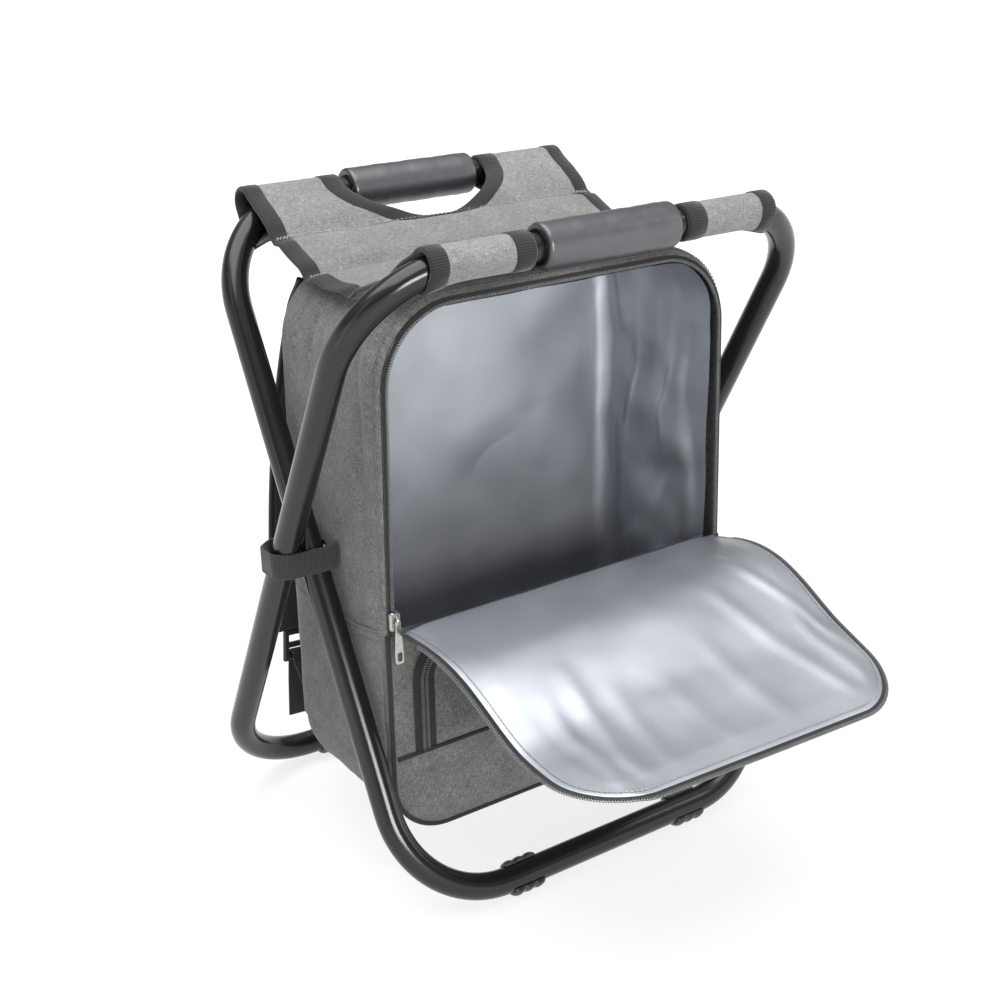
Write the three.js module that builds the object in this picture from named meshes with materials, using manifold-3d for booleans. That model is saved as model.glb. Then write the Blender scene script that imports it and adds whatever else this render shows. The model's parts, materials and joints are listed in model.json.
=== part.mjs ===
// Folding cooler stool: two crossed loops of steel tube, a cloth seat slung between their top bars
// and an insulated bag with a zipped, fold-down door hung between the legs.
// Millimetres, +Z up. The bag's opening faces -Y. The finished group stands on z = 0.
import * as THREE from "three";
import { mergeVertices } from "three/addons/utils/BufferGeometryUtils.js";
import Module from "manifold-3d";

const wasm = await Module();
wasm.setup();

// Clearances
const TOUCH_GAP = 0.3; // between pieces that rest on or are sewn to each other
const RUNNING_GAP = 0.15; // round the pivot rivets

// Tube frames
const TUBE_DIAMETER = 18;
const TUBE_WALL = 1.2;
const LEG_ANGLE = 28.7; // degrees from upright, stool open
const PIVOT_TO_TOP_BAR = 234;
const PIVOT_TO_BOTTOM_BAR = 246;
const INNER_FRAME_WIDTH = 304; // between the leg centres of the inner loop
const LEG_GAP = 1.5; // between the legs of the two loops
const BEND_RADIUS = 70; // centreline
const RIVET_DIAMETER = 6;
const RIVET_HEAD_DIAMETER = 12;
const RIVET_HEAD_HEIGHT = 1.5;
const SPACER_DIAMETER = 14;
const SPACER_GAP = 0.2; // each side of the spacer

// Feet
const FOOT_LENGTH = 24;
const FRONT_FOOT_TO_BEND = 12; // from the foot's middle to the end of the bar's straight run
const REAR_FOOT_TO_BEND = 15.5;
const FOOT_CORE_WALL = 1.5;
const FOOT_RIB_WALL = 2.6;
const FOOT_RIB_LENGTH = 5;
const FOOT_RIB_COUNT = 3;
const FOOT_SOLE = 3.5; // under the tube
const FOOT_SOLE_WIDTH = 12;
const FOOT_CLIP_OPENING = 120; // degrees of the tube left bare

// Foam grips
const GRIP_LENGTH = 100;
const GRIP_DIAMETER = 29;
const GRIP_EDGE_RADIUS = 3;

// Slung seat
const SEAT_WIDTH = 256;
const SEAT_CLOTH = 3; // doubled cloth and its padding
const SEAT_SAG = 44; // below the top of the bars
const SLEEVE_CLOTH = 1.8;
const SLEEVE_REACH = 28; // from the bar's centre in to the sleeve's seam
const SLEEVE_TO_GRIP = 8; // from a sleeve's inner end to the grip
const SLEEVE_SLACK = 0.5; // round the bar
const SEAM_GAP = 0.7; // between a sleeve and the seat panel
const HAND_HOLE_WIDTH = 108;
const HAND_HOLE_DEPTH = 44; // from the bar's centre

// Bag body
const BAG_SIDE_GAP = 4.5; // to the inner legs
const BAG_DEPTH = 124;
const BAG_FORWARD = 6.5; // of the bag's middle, ahead of the pivot
const BAG_DROP = 190; // of its underside below the pivot
const BAG_BOTTOM_RADIUS = 42;
const BAG_TOP_RADIUS = 50;
const SHELL_CLOTH = 2;
const PANEL_CLOTH = 1.7;
const FOAM_THICKNESS = 6;
const FOIL_THICKNESS = 0.8;
const PIPING_DIAMETER = 3.6;

// Bag front: opening, zips and pocket
const OPENING_MARGIN = 6.8; // from the bag's sides and top to the opening
const OPENING_RADIUS = 48;
const SILL_DROP = 38; // of the opening's lower edge, which is the door's hinge line, below the pivot
const ZIP_TAPE_WIDTH = 3.6;
const ZIP_TAPE_THICKNESS = 1.2;
const POCKET_TOP_GAP = 24; // below the door's hinge line
const POCKET_HEIGHT = 64;
const POCKET_WIDTH = 209;
const POCKET_THICKNESS = 6.5;
const POCKET_RADIUS = 14;
const POCKET_ZIP_WIDTH = 16.5;

// Fold-down door, shown hanging open
const DOOR_THICKNESS = 7;
const DOOR_LINING = 0.6;
const DOOR_ZIP_THICKNESS = 1.6;
const DOOR_EDGE_GAP = 2; // between the door's zip and the opening, all round
const DOOR_REST_RISE = 12; // degrees above level, next to the hinge
const DOOR_DROOP = 32; // degrees down again beyond the soft fold
const DOOR_FOLD_REACH = 56; // from the hinge to the soft fold

// Zip sliders and pulls
const SLIDER_WIDTH = 7.6;
const SLIDER_LENGTH = 13;
const SLIDER_THICKNESS = 4;
const LUG_WIDTH = 2.6;
const LUG_HEIGHT = 4;
const LUG_REACH = 2.4;
const PULL_LENGTH = 30;
const PULL_WIDTH = 7;
const PULL_THICKNESS = 1.5;
const PULL_END_RADIUS = 0.85; // above the pull's hinge line
const PULL_WINDOW_LENGTH = 12;
const PULL_WINDOW_WIDTH = 3;
const SLIDER_ABOVE_SILL = 12; // of the door slider's middle
const POCKET_SLIDER_RISE = 12; // of the pocket slider's middle above the pocket's lower edge

// Side pockets, keepers and shoulder straps
const SIDE_POCKET_CLOTH = 1.5;
const SIDE_POCKET_DEPTH = 116; // along Y
const SIDE_POCKET_TOP_DROP = 36; // below the pivot
const SIDE_POCKET_DIP = 7;
const KEEPER_WIDTH = 17;
const KEEPER_CLOTH = 1.8;
const KEEPER_TAB = 5;
const KEEPER_SLACK = 1.4; // round the crossed tubes
const KEEPER_CHAMFER = 8;
const STRAP_SPACING = 212; // between the straps' middles, level with the pivot
const STRAP_SPLAY = 4; // degrees, lower ends outward
const STRAP_WIDTH = 50;
const STRAP_THICKNESS = 8;
const STRAP_TOP_RISE = 163; // above the pivot
const STRAP_BOW = 50; // of the strap's control point behind its top end
const STRAP_BOW_RISE = 40; // of that point above the pivot
const STRAP_END_SETBACK = 38; // of the strap's lower end behind the back panel
const STRAP_END_DROP = 104; // below the pivot
const WEBBING_WIDTH = 22;
const WEBBING_CLOTH = 1.6;
const WEBBING_ANCHOR_LENGTH = 9;
const WEBBING_ANCHOR_RISE = 32; // of the anchor's upper end above the bag's underside
const WEBBING_TAIL = 54; // free end below the ladder lock's slot
const LOCK_WIDTH = 34;
const LOCK_HEIGHT = 24;
const LOCK_THICKNESS = 3.6;
const LOCK_BAR = 4;
const LOCK_SLOT_HEIGHT = 6;

// Fineness of round stretches
const BEND_STEPS = 8;
const TUBE_SIDES = 14;
const PIPING_SIDES = 6;
const ROUND_SIDES = 20;
const CURVE_STEPS = 6;
const SEAT_STEPS = 16;

// Values worked out from the sizes above
const radians = THREE.MathUtils.degToRad;
const tubeRadius = TUBE_DIAMETER / 2;
const legAngle = radians(LEG_ANGLE);
const innerHalf = INNER_FRAME_WIDTH / 2;
const outerHalf = innerHalf + TUBE_DIAMETER + LEG_GAP;
const topBarY = PIVOT_TO_TOP_BAR * Math.sin(legAngle);
const topBarZ = PIVOT_TO_TOP_BAR * Math.cos(legAngle);
const bottomBarY = PIVOT_TO_BOTTOM_BAR * Math.sin(legAngle);
const bottomBarZ = -PIVOT_TO_BOTTOM_BAR * Math.cos(legAngle);
const pivotHeight = -bottomBarZ + tubeRadius + FOOT_SOLE;

// The seat's top surface is z = seatLow + seatCurve * y * y, up to the tops of the sleeves.
const sleeveTopZ = topBarZ + tubeRadius + SLEEVE_SLACK + SLEEVE_CLOTH;
const seatLow = sleeveTopZ - SEAT_SAG;
const seatCurve = SEAT_SAG / (topBarY * topBarY);
const seatZ = (y) => seatLow + seatCurve * y * y;

const bagHalf = innerHalf - tubeRadius - BAG_SIDE_GAP;
const bagFront = -BAG_FORWARD - BAG_DEPTH / 2;
const bagRear = BAG_DEPTH / 2 - BAG_FORWARD;
const bagBottom = -BAG_DROP;
const pipingRadius = PIPING_DIAMETER / 2;
const bagTop = seatZ(Math.min(-bagFront, bagRear)) - SEAT_CLOTH - TOUCH_GAP - PIPING_DIAMETER;
const panelInset = pipingRadius + pipingRadius / 2 + TOUCH_GAP;
const frontFace = bagFront - PANEL_CLOTH; // outer face of the front panel
const backFace = bagRear + PANEL_CLOTH; // outer face of the back panel

const openingHalf = bagHalf - OPENING_MARGIN;
const openingTop = bagTop - OPENING_MARGIN;
const sillZ = -SILL_DROP;
const zipFace = frontFace - TOUCH_GAP - ZIP_TAPE_THICKNESS;
const doorHingeY = frontFace - 3 * TOUCH_GAP - DOOR_LINING - DOOR_THICKNESS / 2;
const pocketTop = sillZ - POCKET_TOP_GAP;
const pocketBottom = pocketTop - POCKET_HEIGHT;
const pocketHalf = POCKET_WIDTH / 2;

const X_AXIS = new THREE.Vector3(1, 0, 0);
const Y_AXIS = new THREE.Vector3(0, 1, 0);
const Z_AXIS = new THREE.Vector3(0, 0, 1);
const SIDES = [["left", -1], ["right", 1]];

// Materials
function paint(color, roughness, metalness) {
  return new THREE.MeshStandardMaterial({ color, roughness, metalness });
}
const blackTube = paint(0x17181a, 0.38, 0.3);
const steel = paint(0xb9bcc0, 0.3, 1);
const blackPlastic = paint(0x1f2124, 0.55, 0);
const greyFoam = paint(0x55595f, 0.85, 0);
const greyCloth = paint(0x8b8885, 0.95, 0);
const darkCloth = paint(0x6f6c69, 0.95, 0);
const whiteFoam = paint(0xe6e6e2, 0.9, 0);
const silverFoil = paint(0xb4b8bf, 0.35, 0.4);
const blackWebbing = paint(0x222326, 0.9, 0);

// Solids for cutting and joining
function solidOf(geometry) {
  const bare = geometry.clone();
  bare.deleteAttribute("normal");
  bare.deleteAttribute("uv");
  const merged = mergeVertices(bare, 1e-4);
  const triVerts = new Uint32Array(merged.index.array);
  const vertProperties = merged.attributes.position.array;
  return new wasm.Manifold(new wasm.Mesh({ numProp: 3, vertProperties, triVerts }));
}

function geometryOf(solid) {
  const mesh = solid.getMesh();
  const geometry = new THREE.BufferGeometry();
  geometry.setAttribute("position", new THREE.BufferAttribute(mesh.vertProperties, 3));
  geometry.setIndex(new THREE.BufferAttribute(mesh.triVerts, 1));
  return geometry;
}

function cut(geometry, ...tools) {
  return geometryOf(tools.reduce((solid, t) => solid.subtract(solidOf(t)), solidOf(geometry)));
}

function join(geometry, ...others) {
  return geometryOf(others.reduce((solid, o) => solid.add(solidOf(o)), solidOf(geometry)));
}
const common = (geometry, other) => geometryOf(solidOf(geometry).intersect(solidOf(other)));

// Extrusions of a flat outline: (y, z) along X, (x, z) along Y, and (x, y) along Z
function extrude(shape, depth) {
  return new THREE.ExtrudeGeometry(shape, { depth, bevelEnabled: false, curveSegments: CURVE_STEPS });
}

function alongX(shape, from, to) {
  const geometry = extrude(shape, to - from).translate(0, 0, from);
  return geometry.applyMatrix4(new THREE.Matrix4().makeBasis(Y_AXIS, Z_AXIS, X_AXIS));
}

function alongY(shape, from, to) {
  const geometry = extrude(shape, to - from).translate(0, 0, -to);
  return geometry.applyMatrix4(new THREE.Matrix4().makeBasis(X_AXIS, Z_AXIS, Y_AXIS.clone().negate()));
}

function alongZ(shape, from, to) {
  return extrude(shape, to - from).translate(0, 0, from);
}

function polygon(points) {
  return new THREE.Shape(points.map(([u, v]) => new THREE.Vector2(u, v)));
}

function rectangle(left, right, bottom, top) {
  return polygon([[left, bottom], [right, bottom], [right, top], [left, top]]);
}

function roundedOutline(left, right, bottom, top, bottomRadius, topRadius) {
  const quarter = Math.PI / 2;
  const shape = new THREE.Shape();
  shape.absarc(right - bottomRadius, bottom + bottomRadius, bottomRadius, -quarter, 0);
  shape.absarc(right - topRadius, top - topRadius, topRadius, 0, quarter);
  shape.absarc(left + topRadius, top - topRadius, topRadius, quarter, 2 * quarter);
  shape.absarc(left + bottomRadius, bottom + bottomRadius, bottomRadius, 2 * quarter, 3 * quarter);
  return shape;
}

// Tight outline round several circles, as a loop of cloth is drawn round them
function loopOutline(circles) {
  const points = [];
  for (const [middle, radius] of circles) {
    for (let k = 0; k < ROUND_SIDES; k++) {
      const angle = (2 * Math.PI * k) / ROUND_SIDES;
      points.push(new THREE.Vector2(radius, 0).rotateAround(new THREE.Vector2(), angle).add(middle));
    }
  }
  points.sort((a, b) => a.x - b.x || a.y - b.y);
  const chain = (ordered) => {
    const kept = [];
    for (const point of ordered) {
      while (kept.length > 1) {
        const last = kept.at(-1);
        const before = kept.at(-2);
        if (last.clone().sub(before).cross(point.clone().sub(last)) > 1e-9) break;
        kept.pop();
      }
      kept.push(point);
    }
    return kept.slice(0, -1);
  };
  return new THREE.Shape([...chain(points), ...chain([...points].reverse())]);
}

// Outline of a strip of cloth of even thickness along a bent line
function stripOutline(points, thickness) {
  const line = points.map(([u, v]) => new THREE.Vector2(u, v));
  const offset = (side) => line.map((point, i) => {
    const before = point.clone().sub(line[Math.max(i - 1, 0)]).normalize();
    const after = line[Math.min(i + 1, line.length - 1)].clone().sub(point).normalize();
    const along = before.clone().add(after).normalize();
    const across = new THREE.Vector2(-along.y, along.x);
    const half = i > 0 && i < line.length - 1 ? along.dot(before) : 1;
    return point.clone().addScaledVector(across, (side * thickness) / 2 / half);
  });
  return new THREE.Shape([...offset(1), ...offset(-1).reverse()]);
}

// Round bar swept round a closed outline that lies in the XZ plane at the given y
function sweptLoop(outline, radius, sides, steps, y = 0) {
  const path = outline.getPoints(steps).filter((p, i, all) => p.distanceTo(all.at(i - 1)) > 1e-6);
  const count = path.length;
  const positions = [];
  const index = [];
  path.forEach((point, i) => {
    const before = point.clone().sub(path.at(i - 1)).normalize();
    const after = path[(i + 1) % count].clone().sub(point).normalize();
    const along = before.clone().add(after).normalize();
    const mitre = radius / along.dot(before);
    for (let k = 0; k < sides; k++) {
      const angle = (2 * Math.PI * k) / sides;
      const across = mitre * Math.cos(angle);
      positions.push(point.x + along.y * across, y + radius * Math.sin(angle), point.y - along.x * across);
      const a = i * sides + k;
      const b = i * sides + ((k + 1) % sides);
      const c = ((i + 1) % count) * sides + k;
      const d = ((i + 1) % count) * sides + ((k + 1) % sides);
      index.push(a, b, c, b, d, c);
    }
  });
  const geometry = new THREE.BufferGeometry();
  geometry.setAttribute("position", new THREE.Float32BufferAttribute(positions, 3));
  geometry.setIndex(index);
  return geometry;
}

// Solid of revolution about X from (distance along X, radius) points
function turnedAlongX(points) {
  const profile = points.map(([x, r]) => new THREE.Vector2(r, x));
  return new THREE.LatheGeometry(profile, ROUND_SIDES).rotateZ(-Math.PI / 2);
}

function cylinderAlongX(radius, from, to) {
  const geometry = new THREE.CylinderGeometry(radius, radius, to - from, ROUND_SIDES);
  return geometry.rotateZ(Math.PI / 2).translate((from + to) / 2, 0, 0);
}

function place(group, name, geometry, material) {
  const mesh = new THREE.Mesh(geometry, material);
  mesh.name = name;
  group.add(mesh);
  return mesh;
}

// Groups: each tube loop in its own leaning plane, and everything else upright about the pivot line
const stool = new THREE.Group();
const upright = new THREE.Group();
const outerPlane = new THREE.Group();
const innerPlane = new THREE.Group();
outerPlane.rotation.x = legAngle;
innerPlane.rotation.x = -legAngle;
upright.add(outerPlane, innerPlane);
stool.add(upright);

// Tube loops, drilled for the pivot rivets
function tubeLoop(half) {
  const route = roundedOutline(-half, half, -PIVOT_TO_BOTTOM_BAR, PIVOT_TO_TOP_BAR, BEND_RADIUS, BEND_RADIUS);
  const skin = sweptLoop(route, tubeRadius, TUBE_SIDES, BEND_STEPS);
  const bore = sweptLoop(route, tubeRadius - TUBE_WALL, TUBE_SIDES, BEND_STEPS);
  const reach = half + TUBE_DIAMETER;
  return cut(skin, bore, cylinderAlongX(RIVET_DIAMETER / 2 + RUNNING_GAP, -reach, reach));
}

place(outerPlane, "outer_tube", tubeLoop(outerHalf), blackTube);
place(innerPlane, "inner_tube", tubeLoop(innerHalf), blackTube);

// Pivot rivets, headed at both ends, and the spacers between the loops
const rivetOuterEnd = outerHalf + tubeRadius + SPACER_GAP;
const rivetInnerEnd = innerHalf - tubeRadius - SPACER_GAP;

function rivet(side) {
  const shank = RIVET_DIAMETER / 2;
  const head = RIVET_HEAD_DIAMETER / 2;
  const profile = [
    [rivetInnerEnd - RIVET_HEAD_HEIGHT, 0],
    [rivetInnerEnd - RIVET_HEAD_HEIGHT, head - RIVET_HEAD_HEIGHT],
    [rivetInnerEnd, head],
    [rivetInnerEnd, shank],
    [rivetOuterEnd, shank],
    [rivetOuterEnd, head],
    [rivetOuterEnd + RIVET_HEAD_HEIGHT, head - RIVET_HEAD_HEIGHT],
    [rivetOuterEnd + RIVET_HEAD_HEIGHT, 0],
  ];
  const geometry = turnedAlongX(profile);
  return side > 0 ? geometry : geometry.rotateZ(Math.PI);
}

function spacer(side) {
  const from = innerHalf + tubeRadius + SPACER_GAP;
  const to = outerHalf - tubeRadius - SPACER_GAP;
  const disc = cylinderAlongX(SPACER_DIAMETER / 2, from, to);
  const hole = cylinderAlongX(RIVET_DIAMETER / 2 + RUNNING_GAP, from - LEG_GAP, to + LEG_GAP);
  const geometry = cut(disc, hole);
  return side > 0 ? geometry : geometry.rotateZ(Math.PI);
}

for (const [name, side] of SIDES) {
  place(outerPlane, `rivet_${name}`, rivet(side), steel);
  place(outerPlane, `spacer_${name}`, spacer(side), blackPlastic);
}

// Clip-on feet: a split ring with ribs that stand on the floor
function footRing(wall, facing) {
  const inner = tubeRadius + TOUCH_GAP;
  const half = radians(FOOT_CLIP_OPENING) / 2;
  const start = facing + half;
  const end = facing - half + 2 * Math.PI;
  const shape = new THREE.Shape();
  shape.absarc(0, 0, inner + wall, start, end);
  shape.absarc(0, 0, inner, end, start, true);
  return shape;
}

function foot(facing) {
  const halfLength = FOOT_LENGTH / 2;
  const pitch = (FOOT_LENGTH - FOOT_RIB_LENGTH) / (FOOT_RIB_COUNT - 1);
  const soleBottom = -tubeRadius - FOOT_SOLE;
  const soleHalf = FOOT_SOLE_WIDTH / 2;
  const ribs = [];
  for (let i = 0; i < FOOT_RIB_COUNT; i++) {
    const from = -halfLength + i * pitch;
    const to = from + FOOT_RIB_LENGTH;
    ribs.push(alongX(footRing(FOOT_RIB_WALL, facing), from, to));
    ribs.push(alongX(rectangle(-soleHalf, soleHalf, soleBottom, -tubeRadius), from, to));
  }
  const whole = join(alongX(footRing(FOOT_CORE_WALL, facing), -halfLength, halfLength), ...ribs);
  return cut(whole, cylinderAlongX(tubeRadius + TOUCH_GAP, -FOOT_LENGTH, FOOT_LENGTH));
}

for (const [name, side] of SIDES) {
  const front = place(upright, `foot_front_${name}`, foot(radians(135)), blackPlastic);
  front.position.set(side * (innerHalf - BEND_RADIUS - FRONT_FOOT_TO_BEND), -bottomBarY, bottomBarZ);
  const rear = place(upright, `foot_rear_${name}`, foot(radians(45)), blackPlastic);
  rear.position.set(side * (outerHalf - BEND_RADIUS - REAR_FOOT_TO_BEND), bottomBarY, bottomBarZ);
}

// Foam grips on the top bars
function grip() {
  const half = GRIP_LENGTH / 2;
  const outer = GRIP_DIAMETER / 2;
  const inner = tubeRadius + TOUCH_GAP;
  const edge = GRIP_EDGE_RADIUS;
  const profile = [
    [-half, inner],
    [-half, outer - edge],
    [-half + edge, outer],
    [half - edge, outer],
    [half, outer - edge],
    [half, inner],
    [-half, inner],
  ];
  return turnedAlongX(profile);
}

place(outerPlane, "grip_front", grip(), greyFoam).position.z = PIVOT_TO_TOP_BAR;
place(innerPlane, "grip_rear", grip(), greyFoam).position.z = PIVOT_TO_TOP_BAR;

// Seat sleeves: each hangs loose round its bar and narrows to a seam where the seat panel begins
const sleeveTipY = topBarY - SLEEVE_REACH;
const sleeveTip = new THREE.Vector2(sleeveTipY, seatZ(sleeveTipY) - SEAT_CLOTH / 2);
// The seam lies on a cylinder about the pivot line, so that the sleeves turn clear of the panel.
const seamRadius = sleeveTip.length() - SLEEVE_CLOTH;

// How far the inside of a bend has dropped from the bar at the sleeve's outer end
function bendDrop(frameHalf) {
  const past = Math.max(SEAT_WIDTH / 2 - (frameHalf - BEND_RADIUS), 0);
  const inside = BEND_RADIUS - tubeRadius;
  return inside - Math.sqrt(inside * inside - past * past);
}

function sleeve(barSide, side) {
  const drop = bendDrop(barSide < 0 ? outerHalf : innerHalf);
  const bar = new THREE.Vector2(barSide * topBarY, topBarZ);
  const dropped = bar.clone().multiplyScalar(1 - drop / PIVOT_TO_TOP_BAR);
  const tip = new THREE.Vector2(barSide * sleeveTip.x, sleeveTip.y);
  const bore = tubeRadius + SLEEVE_SLACK;
  const skin = bore + SLEEVE_CLOTH;
  const voidTip = tip.clone().lerp(bar, (3 * SLEEVE_CLOTH) / SLEEVE_REACH);
  const shape = loopOutline([[bar, skin], [dropped, skin], [tip, SLEEVE_CLOTH]]);
  shape.holes.push(loopOutline([[bar, bore], [dropped, bore], [voidTip, SLEEVE_CLOTH / 3]]));
  const outer = SEAT_WIDTH / 2;
  const inner = GRIP_LENGTH / 2 + SLEEVE_TO_GRIP;
  return side > 0 ? alongX(shape, inner, outer) : alongX(shape, -outer, -inner);
}

for (const [name, side] of SIDES) {
  place(upright, `sleeve_front_${name}`, sleeve(-1, side), greyCloth);
  place(upright, `sleeve_rear_${name}`, sleeve(1, side), greyCloth);
}

// Seat panel: a sagging sheet with an oval hand hole towards each grip
function seatPanel() {
  const edge = seamRadius - SEAM_GAP;
  // Where the curve z = low + seatCurve * y * y meets the seam's cylinder
  const meet = (low) => {
    const a = seatCurve * seatCurve;
    const b = 1 + 2 * low * seatCurve;
    const c = low * low - edge * edge;
    return Math.sqrt((-b + Math.sqrt(b * b - 4 * a * c)) / (2 * a));
  };
  const sheet = (low) => {
    const end = meet(low);
    return Array.from({ length: SEAT_STEPS + 1 }, (_, i) => {
      const y = end * ((2 * i) / SEAT_STEPS - 1);
      return [y, low + seatCurve * y * y];
    });
  };
  const profile = polygon([...sheet(seatLow), ...sheet(seatLow - SEAT_CLOTH).reverse()]);
  const panel = alongX(profile, -SEAT_WIDTH / 2, SEAT_WIDTH / 2);
  const holes = [-1, 1].map((barSide) => {
    const oval = new THREE.Shape();
    oval.absellipse(0, barSide * topBarY, HAND_HOLE_WIDTH / 2, HAND_HOLE_DEPTH, 0, 2 * Math.PI);
    return alongZ(polygon(oval.getPoints(ROUND_SIDES).slice(0, -1).map((p) => [p.x, p.y])), 0, sleeveTopZ);
  });
  return cut(panel, ...holes);
}

place(upright, "seat_panel", seatPanel(), greyCloth);

// Bag body: a rounded outline run from front to back, its roof dished to lie under the sagging seat
function bagOutline(inset) {
  const half = bagHalf - inset;
  const lowRadius = BAG_BOTTOM_RADIUS - inset;
  const highRadius = BAG_TOP_RADIUS - inset;
  return roundedOutline(-half, half, bagBottom + inset, bagTop - inset, lowRadius, highRadius);
}

function bagBody(inset, from, to) {
  const roofLow = seatLow - SEAT_CLOTH - TOUCH_GAP - inset;
  const reach = Math.max(-from, to);
  const roof = Array.from({ length: SEAT_STEPS + 1 }, (_, i) => {
    const y = reach * ((2 * i) / SEAT_STEPS - 1);
    return [y, roofLow + seatCurve * y * y];
  });
  const under = polygon([[reach, bagBottom], ...roof.reverse(), [-reach, bagBottom]]);
  const underSeat = alongX(under, -bagHalf, bagHalf);
  return common(alongY(bagOutline(inset), from, to), underSeat);
}

const through = BAG_DEPTH; // past both ends of the bag
const shellFront = bagFront + panelInset / 2;
const shellBack = bagRear - panelInset / 2;
const foamInset = SHELL_CLOTH + TOUCH_GAP;
const foilInset = foamInset + FOAM_THICKNESS + TOUCH_GAP;
const foamBack = bagRear - TOUCH_GAP;
const foilBack = foamBack - FOAM_THICKNESS - TOUCH_GAP;
const liningFront = bagFront + TOUCH_GAP;

const gusset = cut(bagBody(0, shellFront, shellBack), bagBody(SHELL_CLOTH, -through, through));
const foamRoom = bagBody(foamInset + FOAM_THICKNESS, -through, foamBack - FOAM_THICKNESS);
const foilRoom = bagBody(foilInset + FOIL_THICKNESS, -through, foilBack - FOIL_THICKNESS);
place(upright, "bag_gusset", gusset, darkCloth);
place(upright, "insulation", cut(bagBody(foamInset, liningFront, foamBack), foamRoom), whiteFoam);
place(upright, "liner", cut(bagBody(foilInset, liningFront, foilBack), foilRoom), silverFoil);
place(upright, "bag_back", alongY(bagOutline(panelInset), bagRear, backFace), darkCloth);

// Piping round the front and back seams
const pipingLine = bagOutline(pipingRadius / 2);
const pipingFront = shellFront - TOUCH_GAP - pipingRadius;
const pipingBack = shellBack + TOUCH_GAP + pipingRadius;
function piping(name, frame) {
  const cord = sweptLoop(pipingLine, pipingRadius, PIPING_SIDES, CURVE_STEPS, frame);
  place(upright, name, cord, blackWebbing);
}
piping("piping_front", pipingFront);
piping("piping_back", pipingBack);

// Front panel with its arched opening
function archLine(half, bottom, top, radius) {
  const crown = new THREE.Path();
  crown.absarc(half - radius, top - radius, radius, 0, Math.PI / 2);
  crown.absarc(-half + radius, top - radius, radius, Math.PI / 2, Math.PI);
  return [new THREE.Vector2(half, bottom), ...crown.getPoints(CURVE_STEPS), new THREE.Vector2(-half, bottom)];
}

const arch = (half, bottom, top, radius) => new THREE.Shape(archLine(half, bottom, top, radius));

// Band that follows the sides and top of an arch, from one offset outside it to another
function archBand(half, bottom, top, radius, near, far) {
  const outer = archLine(half + far, bottom, top + far, radius + far);
  const inner = archLine(half + near, bottom, top + near, radius + near);
  return new THREE.Shape([...outer, ...inner.reverse()]);
}

const frontShape = bagOutline(panelInset);
frontShape.holes.push(arch(openingHalf, sillZ, openingTop, OPENING_RADIUS));
place(upright, "bag_front", alongY(frontShape, frontFace, bagFront), darkCloth);

const openingBand = archBand(openingHalf, sillZ, openingTop, OPENING_RADIUS, TOUCH_GAP, ZIP_TAPE_WIDTH);
place(upright, "opening_zip", alongY(openingBand, zipFace, frontFace - TOUCH_GAP), blackWebbing);

// Zipped pocket below the door
const pocketShape = arch(pocketHalf, pocketBottom, pocketTop, POCKET_RADIUS);
const pocketFace = frontFace - TOUCH_GAP - POCKET_THICKNESS;
place(upright, "front_pocket", alongY(pocketShape, pocketFace, frontFace - TOUCH_GAP), darkCloth);
const pocketBand = archBand(pocketHalf, pocketBottom, pocketTop, POCKET_RADIUS, TOUCH_GAP, POCKET_ZIP_WIDTH);
place(upright, "pocket_zip", alongY(pocketBand, zipFace, frontFace - TOUCH_GAP), blackWebbing);

// Door, drawn shut and flat in its own groups, then laid open about the hinge and the soft fold
const doorHalf = openingHalf - DOOR_EDGE_GAP - ZIP_TAPE_WIDTH;
const doorTop = openingTop - sillZ - DOOR_EDGE_GAP - ZIP_TAPE_WIDTH;
const doorRadius = OPENING_RADIUS - DOOR_EDGE_GAP - ZIP_TAPE_WIDTH;
const halfThickness = DOOR_THICKNESS / 2;
const foldDepth = halfThickness + TOUCH_GAP + DOOR_LINING;
const foldRelief = foldDepth * Math.tan(radians(DOOR_DROOP) / 2) + TOUCH_GAP / 2;

const doorLower = new THREE.Group();
const doorUpper = new THREE.Group();
doorLower.position.set(0, doorHingeY, sillZ);
doorLower.rotation.x = radians(90 - DOOR_REST_RISE);
doorUpper.position.z = DOOR_FOLD_REACH;
doorUpper.rotation.x = radians(DOOR_DROOP);
doorLower.add(doorUpper);
upright.add(doorLower);

// The door's sewn lower edge is a bead that turns against the front panel.
function doorPanelLower() {
  const bead = frontFace - doorHingeY - TOUCH_GAP;
  const shoulder = Math.acos(halfThickness / bead);
  const slab = new THREE.Shape();
  slab.moveTo(halfThickness, DOOR_FOLD_REACH - foldRelief);
  slab.lineTo(-halfThickness, DOOR_FOLD_REACH - foldRelief);
  slab.absarc(0, 0, bead, Math.PI - shoulder, 2 * Math.PI + shoulder);
  return alongX(slab, -doorHalf, doorHalf);
}

const liningNear = halfThickness + TOUCH_GAP;
const liningFar = liningNear + DOOR_LINING;
const foldFrom = DOOR_FOLD_REACH - foldRelief;
const upperReach = doorTop - DOOR_FOLD_REACH;
const upperShape = arch(doorHalf, foldRelief, upperReach, doorRadius);
const zipNear = -DOOR_ZIP_THICKNESS / 2;
const zipFar = DOOR_ZIP_THICKNESS / 2;
place(doorLower, "door_panel_lower", doorPanelLower(), darkCloth);
const lowerFilm = rectangle(-doorHalf, doorHalf, halfThickness, foldFrom);
place(doorLower, "door_lining_lower", alongY(lowerFilm, liningNear, liningFar), silverFoil);
place(doorUpper, "door_panel_upper", alongY(upperShape, -halfThickness, halfThickness), darkCloth);
place(doorUpper, "door_lining_upper", alongY(upperShape, liningNear, liningFar), silverFoil);
const upperBand = archBand(doorHalf, foldRelief, upperReach, doorRadius, TOUCH_GAP, ZIP_TAPE_WIDTH);
place(doorUpper, "door_zip_upper", alongY(upperBand, zipNear, zipFar), blackWebbing);
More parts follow.
